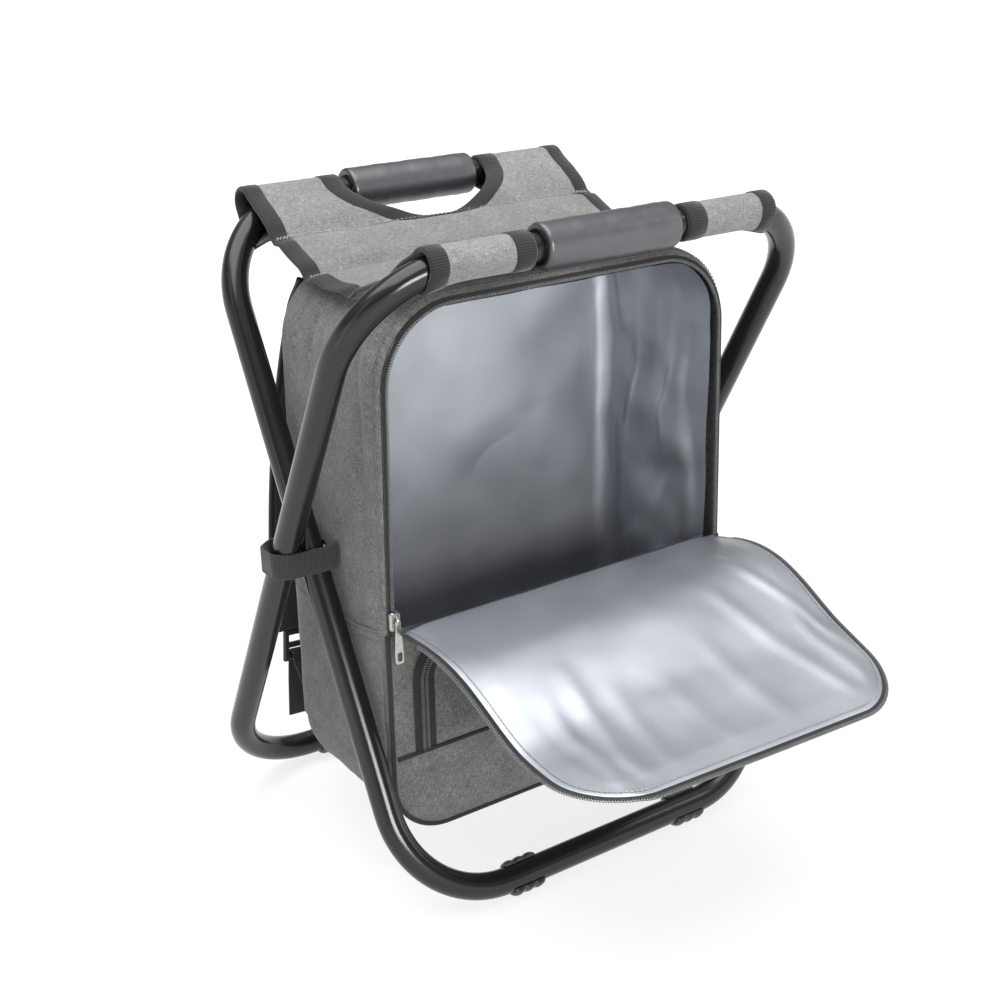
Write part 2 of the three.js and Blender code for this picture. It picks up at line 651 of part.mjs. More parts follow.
for (const [name, side] of SIDES) {
  const near = side * (doorHalf + TOUCH_GAP);
  const far = side * (doorHalf + ZIP_TAPE_WIDTH);
  const tape = rectangle(Math.min(near, far), Math.max(near, far), halfThickness, foldFrom);
  place(doorLower, `door_zip_lower_${name}`, alongY(tape, zipNear, zipFar), blackWebbing);
}

// Zip slider with a lug, and the pull that hangs from the lug
function slider() {
  const half = SLIDER_WIDTH / 2;
  const bodyShape = roundedOutline(-half, half, -SLIDER_LENGTH / 2, SLIDER_LENGTH / 2, half / 3, half / 2);
  const body = alongY(bodyShape, -SLIDER_THICKNESS, 0);
  const lugShape = rectangle(-LUG_WIDTH / 2, LUG_WIDTH / 2, -LUG_HEIGHT / 2, LUG_HEIGHT / 2);
  return join(body, alongY(lugShape, -SLIDER_THICKNESS - LUG_REACH, -SLIDER_THICKNESS / 2));
}

function pull() {
  const half = PULL_WIDTH / 2;
  const plate = roundedOutline(-half, half, -PULL_LENGTH, PULL_END_RADIUS, half / 2, PULL_END_RADIUS);
  const slotHalf = LUG_WIDTH / 2 + TOUCH_GAP;
  const slotDepth = LUG_HEIGHT / 2 + LUG_REACH;
  const slot = rectangle(-slotHalf, slotHalf, -slotDepth, 2 * PULL_END_RADIUS);
  const windowHalf = PULL_WINDOW_WIDTH / 2;
  const windowBottom = -PULL_LENGTH + half;
  const hole = rectangle(-windowHalf, windowHalf, windowBottom, windowBottom + PULL_WINDOW_LENGTH);
  const blank = alongY(plate, -PULL_THICKNESS / 2, PULL_THICKNESS / 2);
  const tools = [slot, hole].map((shape) => alongY(shape, -PULL_THICKNESS, PULL_THICKNESS));
  return cut(blank, ...tools);
}

const sliderBack = zipFace - TOUCH_GAP;
const pullHingeY = sliderBack - SLIDER_THICKNESS - LUG_REACH / 2;
const openingZipMiddle = openingHalf + (TOUCH_GAP + ZIP_TAPE_WIDTH) / 2;
const pocketZipMiddle = pocketHalf + (TOUCH_GAP + POCKET_ZIP_WIDTH) / 2;
const doorSliderAt = new THREE.Vector3(-openingZipMiddle, sliderBack, sillZ + SLIDER_ABOVE_SILL);
const pocketSliderAt = new THREE.Vector3(pocketZipMiddle, sliderBack, pocketBottom + POCKET_SLIDER_RISE);
for (const [name, at] of [["door", doorSliderAt], ["pocket", pocketSliderAt]]) {
  place(upright, `${name}_slider`, slider(), steel).position.copy(at);
  place(upright, `${name}_pull`, pull(), steel).position.set(at.x, pullHingeY, at.z);
}

// Flat slip pockets on the bag's sides
const sidePocketBottom = bagBottom + BAG_BOTTOM_RADIUS;
for (const [name, side] of SIDES) {
  const front = -BAG_FORWARD - SIDE_POCKET_DEPTH / 2;
  const rear = front + SIDE_POCKET_DEPTH;
  const outline = polygon([
    [front, sidePocketBottom],
    [rear, sidePocketBottom],
    [rear, -SIDE_POCKET_TOP_DROP],
    [-BAG_FORWARD, -SIDE_POCKET_TOP_DROP - SIDE_POCKET_DIP],
    [front, -SIDE_POCKET_TOP_DROP],
  ]);
  const near = bagHalf + TOUCH_GAP;
  const from = side > 0 ? near : -near - SIDE_POCKET_CLOTH;
  place(upright, `side_pocket_${name}`, alongX(outline, from, from + SIDE_POCKET_CLOTH), darkCloth);
}

// Keepers: webbing sewn to the bag's sides and wrapped round the crossed legs at the pivot
function keeper(side) {
  const halfWidth = KEEPER_WIDTH / 2;
  const crossing = halfWidth * Math.tan(legAngle) + tubeRadius / Math.cos(legAngle);
  const near = bagHalf + TOUCH_GAP + KEEPER_CLOTH / 2;
  const far = rivetOuterEnd + RIVET_HEAD_HEIGHT + TOUCH_GAP + KEEPER_CLOTH / 2;
  const wide = crossing + KEEPER_SLACK + KEEPER_CLOTH / 2;
  const halfRoute = [
    [near, wide - KEEPER_TAB],
    [near, wide],
    [far - KEEPER_CHAMFER, wide],
    [far, wide - KEEPER_CHAMFER],
  ];
  const route = [...halfRoute, ...halfRoute.map(([x, y]) => [x, -y]).reverse()];
  return alongZ(stripOutline(route.map(([x, y]) => [side * x, y]), KEEPER_CLOTH), -halfWidth, halfWidth);
}

for (const [name, side] of SIDES) {
  place(upright, `keeper_${name}`, keeper(side), blackWebbing);
}

// Shoulder straps: padded upper lengths, ladder locks and adjusting webbing
const strapTop = new THREE.Vector2(backFace + TOUCH_GAP + STRAP_THICKNESS / 2, STRAP_TOP_RISE);
const strapBow = new THREE.Vector2(strapTop.x + STRAP_BOW, STRAP_BOW_RISE);
const strapEnd = new THREE.Vector2(backFace + STRAP_END_SETBACK, -STRAP_END_DROP);
const strapLean = (strapBow.x - strapEnd.x) / (strapBow.y - strapEnd.y);
const lockTop = strapEnd.y - (strapLean * LOCK_THICKNESS) / 2 - TOUCH_GAP;
const lockSlotTop = lockTop - LOCK_HEIGHT + LOCK_BAR + LOCK_SLOT_HEIGHT;

function strap() {
  const curve = new THREE.QuadraticBezierCurve(strapTop, strapBow, strapEnd);
  const line = curve.getPoints(2 * CURVE_STEPS).map((p) => [p.x, p.y]);
  return alongX(stripOutline(line, STRAP_THICKNESS), -STRAP_WIDTH / 2, STRAP_WIDTH / 2);
}

function ladderLock() {
  const half = LOCK_WIDTH / 2;
  const slotHalf = half - LOCK_BAR;
  const bottom = lockTop - LOCK_HEIGHT;
  const plate = rectangle(-half, half, bottom, lockTop);
  for (const top of [lockTop - LOCK_BAR, lockSlotTop]) {
    plate.holes.push(rectangle(-slotHalf, slotHalf, top - LOCK_SLOT_HEIGHT, top));
  }
  return alongY(plate, strapEnd.x - LOCK_THICKNESS / 2, strapEnd.x + LOCK_THICKNESS / 2);
}

// Webbing from its anchor on the back panel, through the lock's lower slot and down to a free end
function strapWebbing() {
  const lie = backFace + TOUCH_GAP + WEBBING_CLOTH / 2;
  const clear = LOCK_THICKNESS / 2 + TOUCH_GAP + WEBBING_CLOTH;
  const slotMiddle = lockSlotTop - LOCK_SLOT_HEIGHT / 2;
  const route = [
    [lie, bagBottom + WEBBING_ANCHOR_RISE - WEBBING_ANCHOR_LENGTH],
    [lie, bagBottom + WEBBING_ANCHOR_RISE],
    [strapEnd.x - clear, lockTop - LOCK_HEIGHT],
    [strapEnd.x - clear, slotMiddle],
    [strapEnd.x + clear, slotMiddle],
    [strapEnd.x + clear, slotMiddle - WEBBING_TAIL],
  ];
  return alongX(stripOutline(route, WEBBING_CLOTH), -WEBBING_WIDTH / 2, WEBBING_WIDTH / 2);
}

for (const [name, side] of SIDES) {
  const harness = new THREE.Group();
  harness.position.x = (side * STRAP_SPACING) / 2;
  harness.rotation.y = -side * radians(STRAP_SPLAY);
  upright.add(harness);
  place(harness, `strap_${name}`, strap(), blackWebbing);
  place(harness, `ladder_lock_${name}`, ladderLock(), blackPlastic);
  place(harness, `strap_webbing_${name}`, strapWebbing(), blackWebbing);
}

// The part's origin is the middle of the underside of its box, and its joint lines are kept with the group.
upright.position.z = pivotHeight;
stool.updateMatrixWorld(true);
upright.position.y = -new THREE.Box3().setFromObject(stool, true).getCenter(new THREE.Vector3()).y;
stool.updateMatrixWorld(true);
const inStool = (group, ...at) => group.localToWorld(new THREE.Vector3(...at)).toArray();
stool.userData.jointPoints = {
  frame_fold: inStool(upright),
  door_hinge: inStool(doorLower),
  door_flex: inStool(doorUpper),
  door_pull_swing: inStool(upright, doorSliderAt.x, pullHingeY, doorSliderAt.z),
  pocket_pull_swing: inStool(upright, pocketSliderAt.x, pullHingeY, pocketSliderAt.z),
};

export default stool;
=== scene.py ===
import json
from math import cos, pi, radians, sin, sqrt

import bmesh
import bpy
import numpy as np
from mathutils import Euler, Matrix, Vector, noise
from mathutils.geometry import convex_hull_2d


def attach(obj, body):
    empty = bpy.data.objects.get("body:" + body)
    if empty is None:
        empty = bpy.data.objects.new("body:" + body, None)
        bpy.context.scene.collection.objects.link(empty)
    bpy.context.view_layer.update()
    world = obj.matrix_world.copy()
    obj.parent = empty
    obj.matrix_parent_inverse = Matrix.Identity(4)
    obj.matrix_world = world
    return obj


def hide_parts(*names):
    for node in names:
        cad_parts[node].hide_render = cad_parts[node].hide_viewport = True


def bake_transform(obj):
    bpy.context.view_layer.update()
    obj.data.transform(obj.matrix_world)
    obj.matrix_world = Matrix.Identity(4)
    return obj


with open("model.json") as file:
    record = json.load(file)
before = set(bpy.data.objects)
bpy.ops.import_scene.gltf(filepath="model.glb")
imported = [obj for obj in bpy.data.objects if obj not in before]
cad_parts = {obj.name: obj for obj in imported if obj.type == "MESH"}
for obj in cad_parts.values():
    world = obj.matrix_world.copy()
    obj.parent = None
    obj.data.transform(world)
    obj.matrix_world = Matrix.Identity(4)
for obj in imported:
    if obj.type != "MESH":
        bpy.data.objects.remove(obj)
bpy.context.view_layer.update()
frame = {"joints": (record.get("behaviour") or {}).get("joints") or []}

# Sizes in millimetres, measured from the pivot line: +X right, -Y towards the opening, +Z up
MM = 0.001
JOINTS = {joint["name"]: joint for joint in frame["joints"]}
PIVOT = np.array(JOINTS["frame_fold"]["pos_m"])
SIDES = (("left", -1.0), ("right", 1.0))

TUBE_RADIUS = 9.0
LEG_ANGLE = radians(28.7)
TOP_REACH = 234.0
BOTTOM_REACH = 246.0
INNER_HALF = 152.0
OUTER_HALF = 171.5
BEND_RADIUS = 70.0
TOP_Y = TOP_REACH * sin(LEG_ANGLE)
TOP_Z = TOP_REACH * cos(LEG_ANGLE)
BOTTOM_Y = BOTTOM_REACH * sin(LEG_ANGLE)
BOTTOM_Z = -BOTTOM_REACH * cos(LEG_ANGLE)
BORE_RADIUS = 9.3  # of grips and feet, clear of the tube
GRIP_HALF = 50.0
GRIP_RADIUS = 14.4
GRIP_EDGE = 2.6
FOOT_HALF = 12.0
FRONT_FOOT_X = 70.0
REAR_FOOT_X = 86.0

SEAT_HALF = 128.0
SEAT_LOW = 172.5
SLEEVE_RADIUS = 11.0
SLEEVE_START = 58.0
SEAMS = (70.0, 27.0)
HOLE_DEPTH = 36.0
SEAT_CLOTH = 2.0
SIDE_BINDING = 11.0
SLEEVE_BINDING = 13.5
HOLE_BINDING = 5.5

BAG_HALF = 138.5
BAG_FRONT = -68.5
BAG_REAR = 55.5
BAG_BOTTOM = -190.0
BAG_TOP = 176.3
BAG_BOTTOM_RADIUS = 42.0
BAG_TOP_RADIUS = 50.0
FRONT_Y = -70.2
BACK_Y = 57.2
FRONT_ROLL = 13.0  # depth over which the sides turn in to the zip
REAR_ROLL = 9.0
LINER_HALF = 129.0
LINER_BOTTOM = -180.2
LINER_TOP = 166.4
LINER_BACK = 47.0
LINER_TURN = 14.0  # from the walls into the back

OPENING_HALF = 131.7
OPENING_TOP = 169.5
OPENING_RADIUS = 48.0
OPENING_SPREAD = 0.015  # the opening is this much wider at its sill
SILL_Z = -38.0

DOOR_HINGE_Y = -75.2
DOOR_SHUT = radians(78.0)
DOOR_DROOP = radians(32.0)
DOOR_FOLD = 56.0
DOOR_HALF = 126.1
DOOR_LENGTH = 201.9
DOOR_RADIUS = 42.4
TAPE_WIDTH = 3.6

POCKET_HALF = 104.5
POCKET_TOP = -62.0
POCKET_BOTTOM = -126.0
POCKET_RADIUS = 14.0
POCKET_ZIP_WIDTH = 16.5
SIDE_POCKET_HALF = 58.0
SIDE_POCKET_TOP = -36.0
SIDE_POCKET_BOTTOM = -146.0

STRAP_X = 106.0
STRAP_SPLAY = radians(4.0)
STRAP_HALF = 24.5


def row_frame(points):
    return np.asarray(points, float) * MM + PIVOT


def xyz(x, y, z):
    """Points from coordinates that are arrays or single numbers."""
    return np.stack(np.broadcast_arrays(x, y, z), axis=-1).astype(float)


def clamp(values):
    return np.clip(values, 0, 1)


def bell(distance, width):
    return np.exp(-((distance / width) ** 2))


# Mesh building
def add_object(name, data):
    made = bpy.data.objects.new(name, data)
    bpy.context.scene.collection.objects.link(made)
    return made


class Piece:
    """Gathers grids of points, in millimetres from the pivot line, into one mesh."""

    def __init__(self):
        self.points = []
        self.faces = []
        self.uvs = []

    def grid(self, points, close_rows=False, close_cols=False, uv=None, cap=False):
        points = np.asarray(points, float)
        rows, cols = points.shape[:2]
        first = len(self.points)
        self.points.extend(points.reshape(-1, 3).tolist())
        if uv is None:
            along = np.linalg.norm(np.diff(points, axis=1, append=points[:, :1]), axis=2).mean(0)
            down = np.linalg.norm(np.diff(points, axis=0, append=points[:1]), axis=2).mean(1)
            uv = np.stack(np.meshgrid(np.cumsum([0.0, *along]), np.cumsum([0.0, *down])), axis=-1)
        else:
            uv = np.pad(uv, ((0, 1), (0, 1), (0, 0)), mode="wrap")
        for r in range(rows if close_rows else rows - 1):
            for c in range(cols if close_cols else cols - 1):
                corners = [(r, c), (r, c + 1), (r + 1, c + 1), (r + 1, c)]
                self.faces.append([first + (i % rows) * cols + j % cols for i, j in corners])
                self.uvs.append([tuple(uv[i, j]) for i, j in corners])
        if cap:
            self.close(range(first, first + cols)[::-1]).fill(cols)
        return self

    def rod(self, rings):
        """A tube through rings of points, with closed ends."""
        return self.grid(rings, close_cols=True, cap=True)

    def loop(self, rings):
        """A tube through rings of points, back to the first."""
        return self.grid(rings, True, True)

    def close(self, ring):
        self.faces.append(list(ring))
        self.uvs.append([(0.0, 0.0)] * len(ring))
        return self

    def fill(self, count):
        """Closes the last ring of that many points."""
        return self.close(range(len(self.points) - count, len(self.points)))

    def build(self, name, material, thickness=0.0, offset=-1.0, sharp=None, weld=0.0):
        mesh = bpy.data.meshes.new(name)
        mesh.from_pydata(row_frame(self.points).tolist(), [], self.faces)
        layer = mesh.uv_layers.new(name="cloth")
        layer.data.foreach_set("uv", [value for face in self.uvs for corner in face for value in corner])
        mesh.materials.append(material)
        piece = add_object(name, mesh)
        work = bmesh.new()
        work.from_mesh(mesh)
        if weld:
            bmesh.ops.remove_doubles(work, verts=work.verts, dist=weld * MM)
        bmesh.ops.recalc_face_normals(work, faces=work.faces)
        work.to_mesh(mesh)
        work.free()
        if thickness:
            solid = piece.modifiers.new("thickness", "SOLIDIFY")
            solid.thickness = thickness * MM
            solid.offset = offset
        graph = bpy.context.evaluated_depsgraph_get()
        made = bpy.data.meshes.new_from_object(piece.evaluated_get(graph))
        piece.modifiers.clear()
        piece.data = made
        made.name = name
        bpy.data.meshes.remove(mesh)
        made.polygons.foreach_set("use_smooth", [True] * len(made.polygons))
        if sharp is not None:
            made.set_sharp_from_angle(angle=radians(sharp))
        return piece

    def place(self, name, material, slot, *nodes, body="bag", **finish):
        """Builds the piece, hangs it under its body and hides the nodes it stands for; slot is not used."""
        piece = self.build(name, material, **finish)
        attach(piece, body)
        if nodes:
            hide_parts(*nodes)
        return piece


def unit(vectors):
    return vectors / np.maximum(np.linalg.norm(vectors, axis=-1, keepdims=True), 1e-9)


def tangents(path, closed=False):
    if closed:
        return unit(np.roll(path, -1, axis=0) - np.roll(path, 1, axis=0))
    return unit(np.gradient(path, axis=0))


def swept(path, section, across, closed=False):
    """Rings of a section's (out, up) points carried along a path; up leans towards across."""
    along = tangents(path, closed)
    up = unit(across - along * (along * across).sum(1, keepdims=True))
    out = np.cross(along, up)
    return path[:, None] + out[:, None] * section[..., :1] + up[:, None] * section[..., 1:]


def circle(radius, sides):
    turn = np.linspace(0, 2 * pi, sides, endpoint=False)
    return np.stack([radius * np.cos(turn), radius * np.sin(turn)], axis=1)


def flat_section(width, thickness, c):
    """A rectangle with its corners cut off by c."""
    half, deep = width / 2, thickness / 2
    lower = [(-half, -deep + c), (-half + c, -deep), (0, -deep), (half - c, -deep), (half, -deep + c)]
    return np.array(lower + [(-x, -y) for x, y in lower])


def arc(middle, radius, start, end, steps):
    turn = np.radians(np.linspace(start, end, steps + 1))
    return [(middle[0] + radius * cos(a), middle[1] + radius * sin(a)) for a in turn]


def rounded_loop(left, right, bottom, top, low_radius, top_radius, steps):
    return np.array(
        arc((right - low_radius, bottom + low_radius), low_radius, -90, 0, steps)
        + arc((right - top_radius, top - top_radius), top_radius, 0, 90, steps)
        + arc((left + top_radius, top - top_radius), top_radius, 90, 180, steps)
        + arc((left + low_radius, bottom + low_radius), low_radius, 180, 270, steps)
    )


def arch_line(half, bottom, top, radius, steps=14):
    crown = arc((half - radius, top - radius), radius, 0, 90, steps)
    crown += arc((-half + radius, top - radius), radius, 90, 180, steps)
    return np.array([(half, bottom), *crown, (-half, bottom)])


def run_along(line):
    """Distance of each point of a line from its start."""
    return np.cumsum([0.0, *np.linalg.norm(np.diff(line, axis=0), axis=1)])


def picked(rows, run, at):
    """Rows read off at distances along a line; run has those of its points."""
    return np.stack([np.interp(at, run, column) for column in np.transpose(rows)], axis=-1)


def resampled(line, count, closed=False):
    if closed:
        line = np.concatenate([line, line[:1]])
    run = run_along(line)
    return picked(line, run, np.linspace(0, run[-1], count, endpoint=not closed))


def rounded_line(points, radius):
    """A line whose inner corners are rounded."""
    points = np.array(points, float)
    t = np.linspace(0, 1, 7)[:, None]
    parts = [points[:1]]
    for before, corner, after in zip(points, points[1:], points[2:]):
        a, b = (corner + unit(p - corner) * min(radius, np.linalg.norm(p - corner) / 2)
                for p in (before, after))
        parts.append((1 - t) ** 2 * a + 2 * t * (1 - t) * corner + t * t * b)
    return np.concatenate([*parts, points[-1:]])


def ring_between(outer, inner, rows):
    share = np.linspace(0, 1, rows)[:, None, None]
    return outer[None] * (1 - share) + inner[None] * share


def ripple(points, size, seed, detail=1):
    """Smooth noise from about -1 to 1 at points in millimetres, with features of that size."""
    shift = Vector((17.0 * seed, 31.0 * seed, 47.0 * seed))
    values = [noise.fractal(Vector(p) / size + shift, 0.6, 2.0, detail) for p in points.reshape(-1, 3)]
    return np.array(values).reshape(points.shape[:-1])


def at_y(outline, y):
    """(x, z) points set at one y or at one y each."""
    return xyz(outline[..., 0], y, outline[..., 1])


# Materials
class Shader:
    """A node tree whose nodes are added one call at a time."""

    def __init__(self, owner, surface="Principled BSDF"):
        owner.use_nodes = True
        self.owner = owner
        self.tree = owner.node_tree
        self.surface = self.tree.nodes[surface]

    def feed(self, socket, value):
        if isinstance(value, bpy.types.NodeSocket):
            self.tree.links.new(value, socket)
        else:
            socket.default_value = value

    def node(self, kind, output=0, settings=(), **inputs):
        """One output of a new node; settings are (name, value) pairs."""
        made = self.tree.nodes.new("ShaderNode" + kind)
        for key, value in settings:
            setattr(made, key, value)
        for key, value in inputs.items():
            self.feed(made.inputs[key.replace("_", " ")], value)
        return made.outputs[output]

    def set(self, **inputs):
        for key, value in inputs.items():
            self.feed(self.surface.inputs[key.replace("_", " ")], value)

    def uv(self, scale=(1.0, 1.0, 1.0)):
        return self.node("Mapping", Vector=self.node("TexCoord", "UV"), Scale=scale)

    def spot(self):
        return self.node("TexCoord", "Object")

    def noise(self, vector, scale, detail=2.0, roughness=0.5, distortion=0.0):
        return self.node("TexNoise", "Fac", Vector=vector, Scale=scale, Detail=detail, Roughness=roughness,
                         Distortion=distortion)

    def waves(self, vector, direction, period):
        return self.node("TexWave", "Fac", [("bands_direction", direction)], Vector=vector,
                         Scale=pi / (10 * period))

    def math(self, operation, a, b):
        result = self.node("Math", 0, [("operation", operation)])
        self.feed(result.node.inputs[0], a)
        self.feed(result.node.inputs[1], b)
        return result

    def blend(self, *parts):
        """Sum of values, each times its weight."""
        total = 0.0
        for value, weight in parts:
            total = self.math("ADD", total, self.math("MULTIPLY", value, weight))
        return total

    def ramp(self, value, stops):
        colour_out = self.node("ValToRGB", "Color", Fac=value)
        elements = colour_out.node.color_ramp.elements
        while len(elements) < len(stops):
            elements.new(1.0)
        for element, (place, colour) in zip(elements, stops):
            element.position = place
            element.color = (*colour, 1.0)
        return colour_out

    def levels(self, value, low, high, start=0.0, end=1.0):
        return self.node("MapRange", Value=value, From_Min=start, From_Max=end, To_Min=low, To_Max=high)

    def bump(self, height, strength, distance, **normal):
        return self.node("Bump", Height=height, Strength=strength, Distance=distance, **normal)


def new_material(name):
    return Shader(bpy.data.materials.new(name))


def heather(name, dark, middle, light):
    """Two-tone woven cloth: short streaks along both thread directions over a fine plain weave."""
    s = new_material(name)
    warp = s.noise(s.uv((1.9, 0.2, 1.0)), 1.0)
    weft = s.noise(s.uv((0.2, 1.9, 1.0)), 1.0)
    speck = s.noise(s.uv(), 1.15, 1.0)
    blotch = s.noise(s.uv(), 0.05)
    streak = s.blend((warp, 0.5), (weft, 0.5))
    mixed = s.blend((streak, 0.68), (speck, 0.2), (blotch, 0.12))
    s.set(Base_Color=s.ramp(mixed, [(0.37, dark), (0.5, middle), (0.64, light)]))
    s.set(Roughness=s.levels(streak, 0.82, 0.98), Specular_IOR_Level=0.25)
    s.set(Sheen_Weight=0.15, Sheen_Roughness=0.5)
    weave = s.math("MULTIPLY", s.waves(s.uv(), "X", 0.95), s.waves(s.uv(), "Y", 0.95))
    puckers = s.bump(s.noise(s.uv(), 0.09, 3.0), 0.35, 0.0016)
    s.set(Normal=s.bump(s.blend((weave, 1.0), (streak, 0.8)), 0.45, 0.0002, Normal=puckers))
    return s.owner


def ribbed(name, colour, pitch, direction="X", depth=0.0003):
    """Black tape: cross ribs and a thread-by-thread change of tone."""
    s = new_material(name)
    rib = s.waves(s.uv(), direction, pitch)
    cross = s.waves(s.uv(), "Y" if direction == "X" else "X", pitch * 0.7)
    fuzz = s.noise(s.uv(), 1.6)
    tone = s.blend((rib, 0.55), (fuzz, 0.45))
    lighter = tuple(2.2 * c + 0.008 for c in colour)
    s.set(Base_Color=s.ramp(tone, [(0.25, colour), (0.8, lighter)]), Roughness=0.78)
    s.set(Sheen_Weight=0.25, Sheen_Roughness=0.4, Specular_IOR_Level=0.35)
    s.set(Normal=s.bump(s.blend((rib, 1.0), (cross, 0.35)), 0.6, depth))
    return s.owner


def satin_paint(name):
    s = new_material(name)
    grain = s.noise(s.spot(), 1400.0)
    drift = s.noise(s.spot(), 22.0, 3.0)
    s.set(Base_Color=s.ramp(drift, [(0.3, (0.0045, 0.0047, 0.0053)), (0.7, (0.0075, 0.0077, 0.0085))]))
    s.set(Roughness=s.levels(drift, 0.16, 0.22), Normal=s.bump(grain, 0.1, 0.0001))
    return s.owner


def moulded(name, colour, roughness, grain_scale=900.0, strength=0.2):
    s = new_material(name)
    grain = s.noise(s.spot(), grain_scale, 3.0)
    drift = s.noise(s.spot(), 60.0)
    lighter = tuple(1.35 * c for c in colour)
    s.set(Base_Color=s.ramp(drift, [(0.3, colour), (0.75, lighter)]))
    s.set(Roughness=s.levels(grain, roughness - 0.08, roughness + 0.08))
    s.set(Normal=s.bump(grain, strength, 0.00015))
    return s.owner


def foam_rubber(name, colour, half):
    """Closed-cell foam round a bar along X, darker towards both ends: a darker end piece, with painted shade
    on the end faces.
    """
    s = new_material(name)
    cells = s.node("TexVoronoi", "Distance", Vector=s.spot(), Scale=1100.0)
    drift = s.noise(s.spot(), 30.0, 3.0)
    lighter = tuple(1.3 * c for c in colour)
    along = s.math("ABSOLUTE", s.node("SeparateXYZ", "X", Vector=s.spot()), 0.0)
    # painted shade: the skin colour is scaled down to 0.12 near each end, for the shaded end faces and a dark
    # end piece
    dark_end_and_shade = s.levels(along, 1.0, 0.12, half - 0.0024, half - 0.0012)
    skin = s.ramp(drift, [(0.3, colour), (0.75, lighter)])
    s.set(Base_Color=s.node("VectorMath", "Vector", [("operation", "SCALE")], Vector=skin, Scale=dark_end_and_shade))
    s.set(Roughness=0.38, IOR=1.6, Specular_IOR_Level=1.0)
    s.set(Normal=s.bump(cells, 0.35, 0.0002, Normal=s.bump(drift, 0.2, 0.0006)))
    return s.owner


def film(name):
    """Satin silver film."""
    s = new_material(name)
    broad = s.noise(s.uv(), 0.018, 1.5, 0.5, 0.4)
    fine = s.noise(s.uv(), 0.16, 3.0, 0.6, 0.4)
    s.set(Base_Color=s.ramp(broad, [(0.3, (0.345, 0.362, 0.393)), (0.7, (0.435, 0.456, 0.491))]))
    s.set(Metallic=0.72, Roughness=s.levels(fine, 0.36, 0.44))
    s.set(Normal=s.bump(fine, 0.06, 0.001, Normal=s.bump(broad, 0.2, 0.004)))
    return s.owner


def plated(name):
    s = new_material(name)
    scuff = s.noise(s.spot(), 300.0)
    s.set(Base_Color=s.ramp(scuff, [(0.3, (0.40, 0.39, 0.365)), (0.75, (0.48, 0.47, 0.44))]))
    s.set(Metallic=1.0, Roughness=s.levels(scuff, 0.22, 0.3), Normal=s.bump(scuff, 0.06, 0.0001))
    return s.owner


TUBE_PAINT = satin_paint("satin_black_paint")
STEEL = plated("nickel_plate")
BLACK_PLASTIC = moulded("black_plastic", (0.019, 0.0195, 0.021), 0.4)
GRIP_FOAM = foam_rubber("grip_foam", (0.015, 0.0165, 0.0205), GRIP_HALF * MM)
SEAT_WEAVE = heather("seat_cloth", (0.085, 0.083, 0.083), (0.175, 0.171, 0.171), (0.3, 0.294, 0.292))
BAG_WEAVE = heather("bag_cloth", (0.042, 0.041, 0.039), (0.115, 0.111, 0.108), (0.23, 0.223, 0.217))
BINDING = ribbed("binding_tape", (0.006, 0.0062, 0.007), 1.4, "Y")
WEBBING = ribbed("webbing", (0.011, 0.0112, 0.012), 1.5, "Y", 0.0005)
ZIP_TAPE = ribbed("zip_tape", (0.005, 0.0052, 0.006), 0.9)
# the zip teeth are black: their grey colour is a painted highlight on each tooth
TEETH_PAINTED_HIGHLIGHT = moulded("zip_teeth", (0.1, 0.101, 0.104), 0.26, 500.0, 0.1)
FILM = film("silver_film")
STRAP_MESH = ribbed("strap_mesh", (0.012, 0.0122, 0.013), 2.0, depth=0.0006)
PALE_THREAD = moulded("pale_thread", (0.3, 0.3, 0.3), 0.7)
GREY_THREAD = moulded("grey_thread", (0.11, 0.108, 0.106), 0.8)
SEAT_THREAD = moulded("seat_thread", (0.2, 0.196, 0.193), 0.8)


# Tube loops, each in its own leaning plane
def lean(points, side):
    """(x, reach up the legs, offset from the plane) made upright; side -1 leans to the front."""
    x, reach, off = np.moveaxis(points, -1, 0)
    y = side * reach * sin(LEG_ANGLE) + off * cos(LEG_ANGLE)
    z = reach * cos(LEG_ANGLE) - side * off * sin(LEG_ANGLE)
    return xyz(x, y, z)


def tube_loop(name, half, side, body):
    path = rounded_loop(-half, half, -BOTTOM_REACH, TOP_REACH, BEND_RADIUS, BEND_RADIUS, 24)
    rings = swept(xyz(path[:, 0], path[:, 1], 0.0), circle(TUBE_RADIUS, 32), (0, 0, 1), closed=True)
    Piece().loop(lean(rings, side)).place(name + "_smooth", TUBE_PAINT, "tube_paint", name, body=body)


tube_loop("outer_tube", OUTER_HALF, -1, "outer_frame")
tube_loop("inner_tube", INNER_HALF, 1, "inner_frame")


# Turned pieces along X: rivets, spacers and grips
def turned(profile, sides):
    """Rings round the X axis through (x, radius) points."""
    ring = circle(1.0, sides)
    return np.array([xyz(x, *(radius * ring.T)) for x, radius in profile])


RIVET_PROFILE = (
    (141.3, 0.02), (141.4, 3.4), (141.9, 4.9), (142.7, 5.9), (142.8, 5.95), (142.8, 3.0),
    (180.7, 3.0), (180.7, 5.95), (180.8, 5.9), (181.5, 4.9), (182.1, 3.0), (182.2, 0.02),
)
SPACER_PROFILE = ((161.2, 3.2), (161.2, 6.6), (161.5, 7.0), (162.0, 7.0), (162.3, 6.6), (162.3, 3.2))
for name, side in SIDES:
    rivet = Piece().rod(turned(RIVET_PROFILE, 32) * (side, 1, 1))
    rivet.place(f"rivet_{name}_turned", STEEL, "rivet_steel", f"rivet_{name}", body="outer_frame", sharp=40)
    spacer = Piece().loop(turned(SPACER_PROFILE, 32) * (side, 1, 1))
    spacer.place(f"spacer_{name}_turned", BLACK_PLASTIC, "black_plastic", f"spacer_{name}",
                 body="outer_frame", sharp=40)


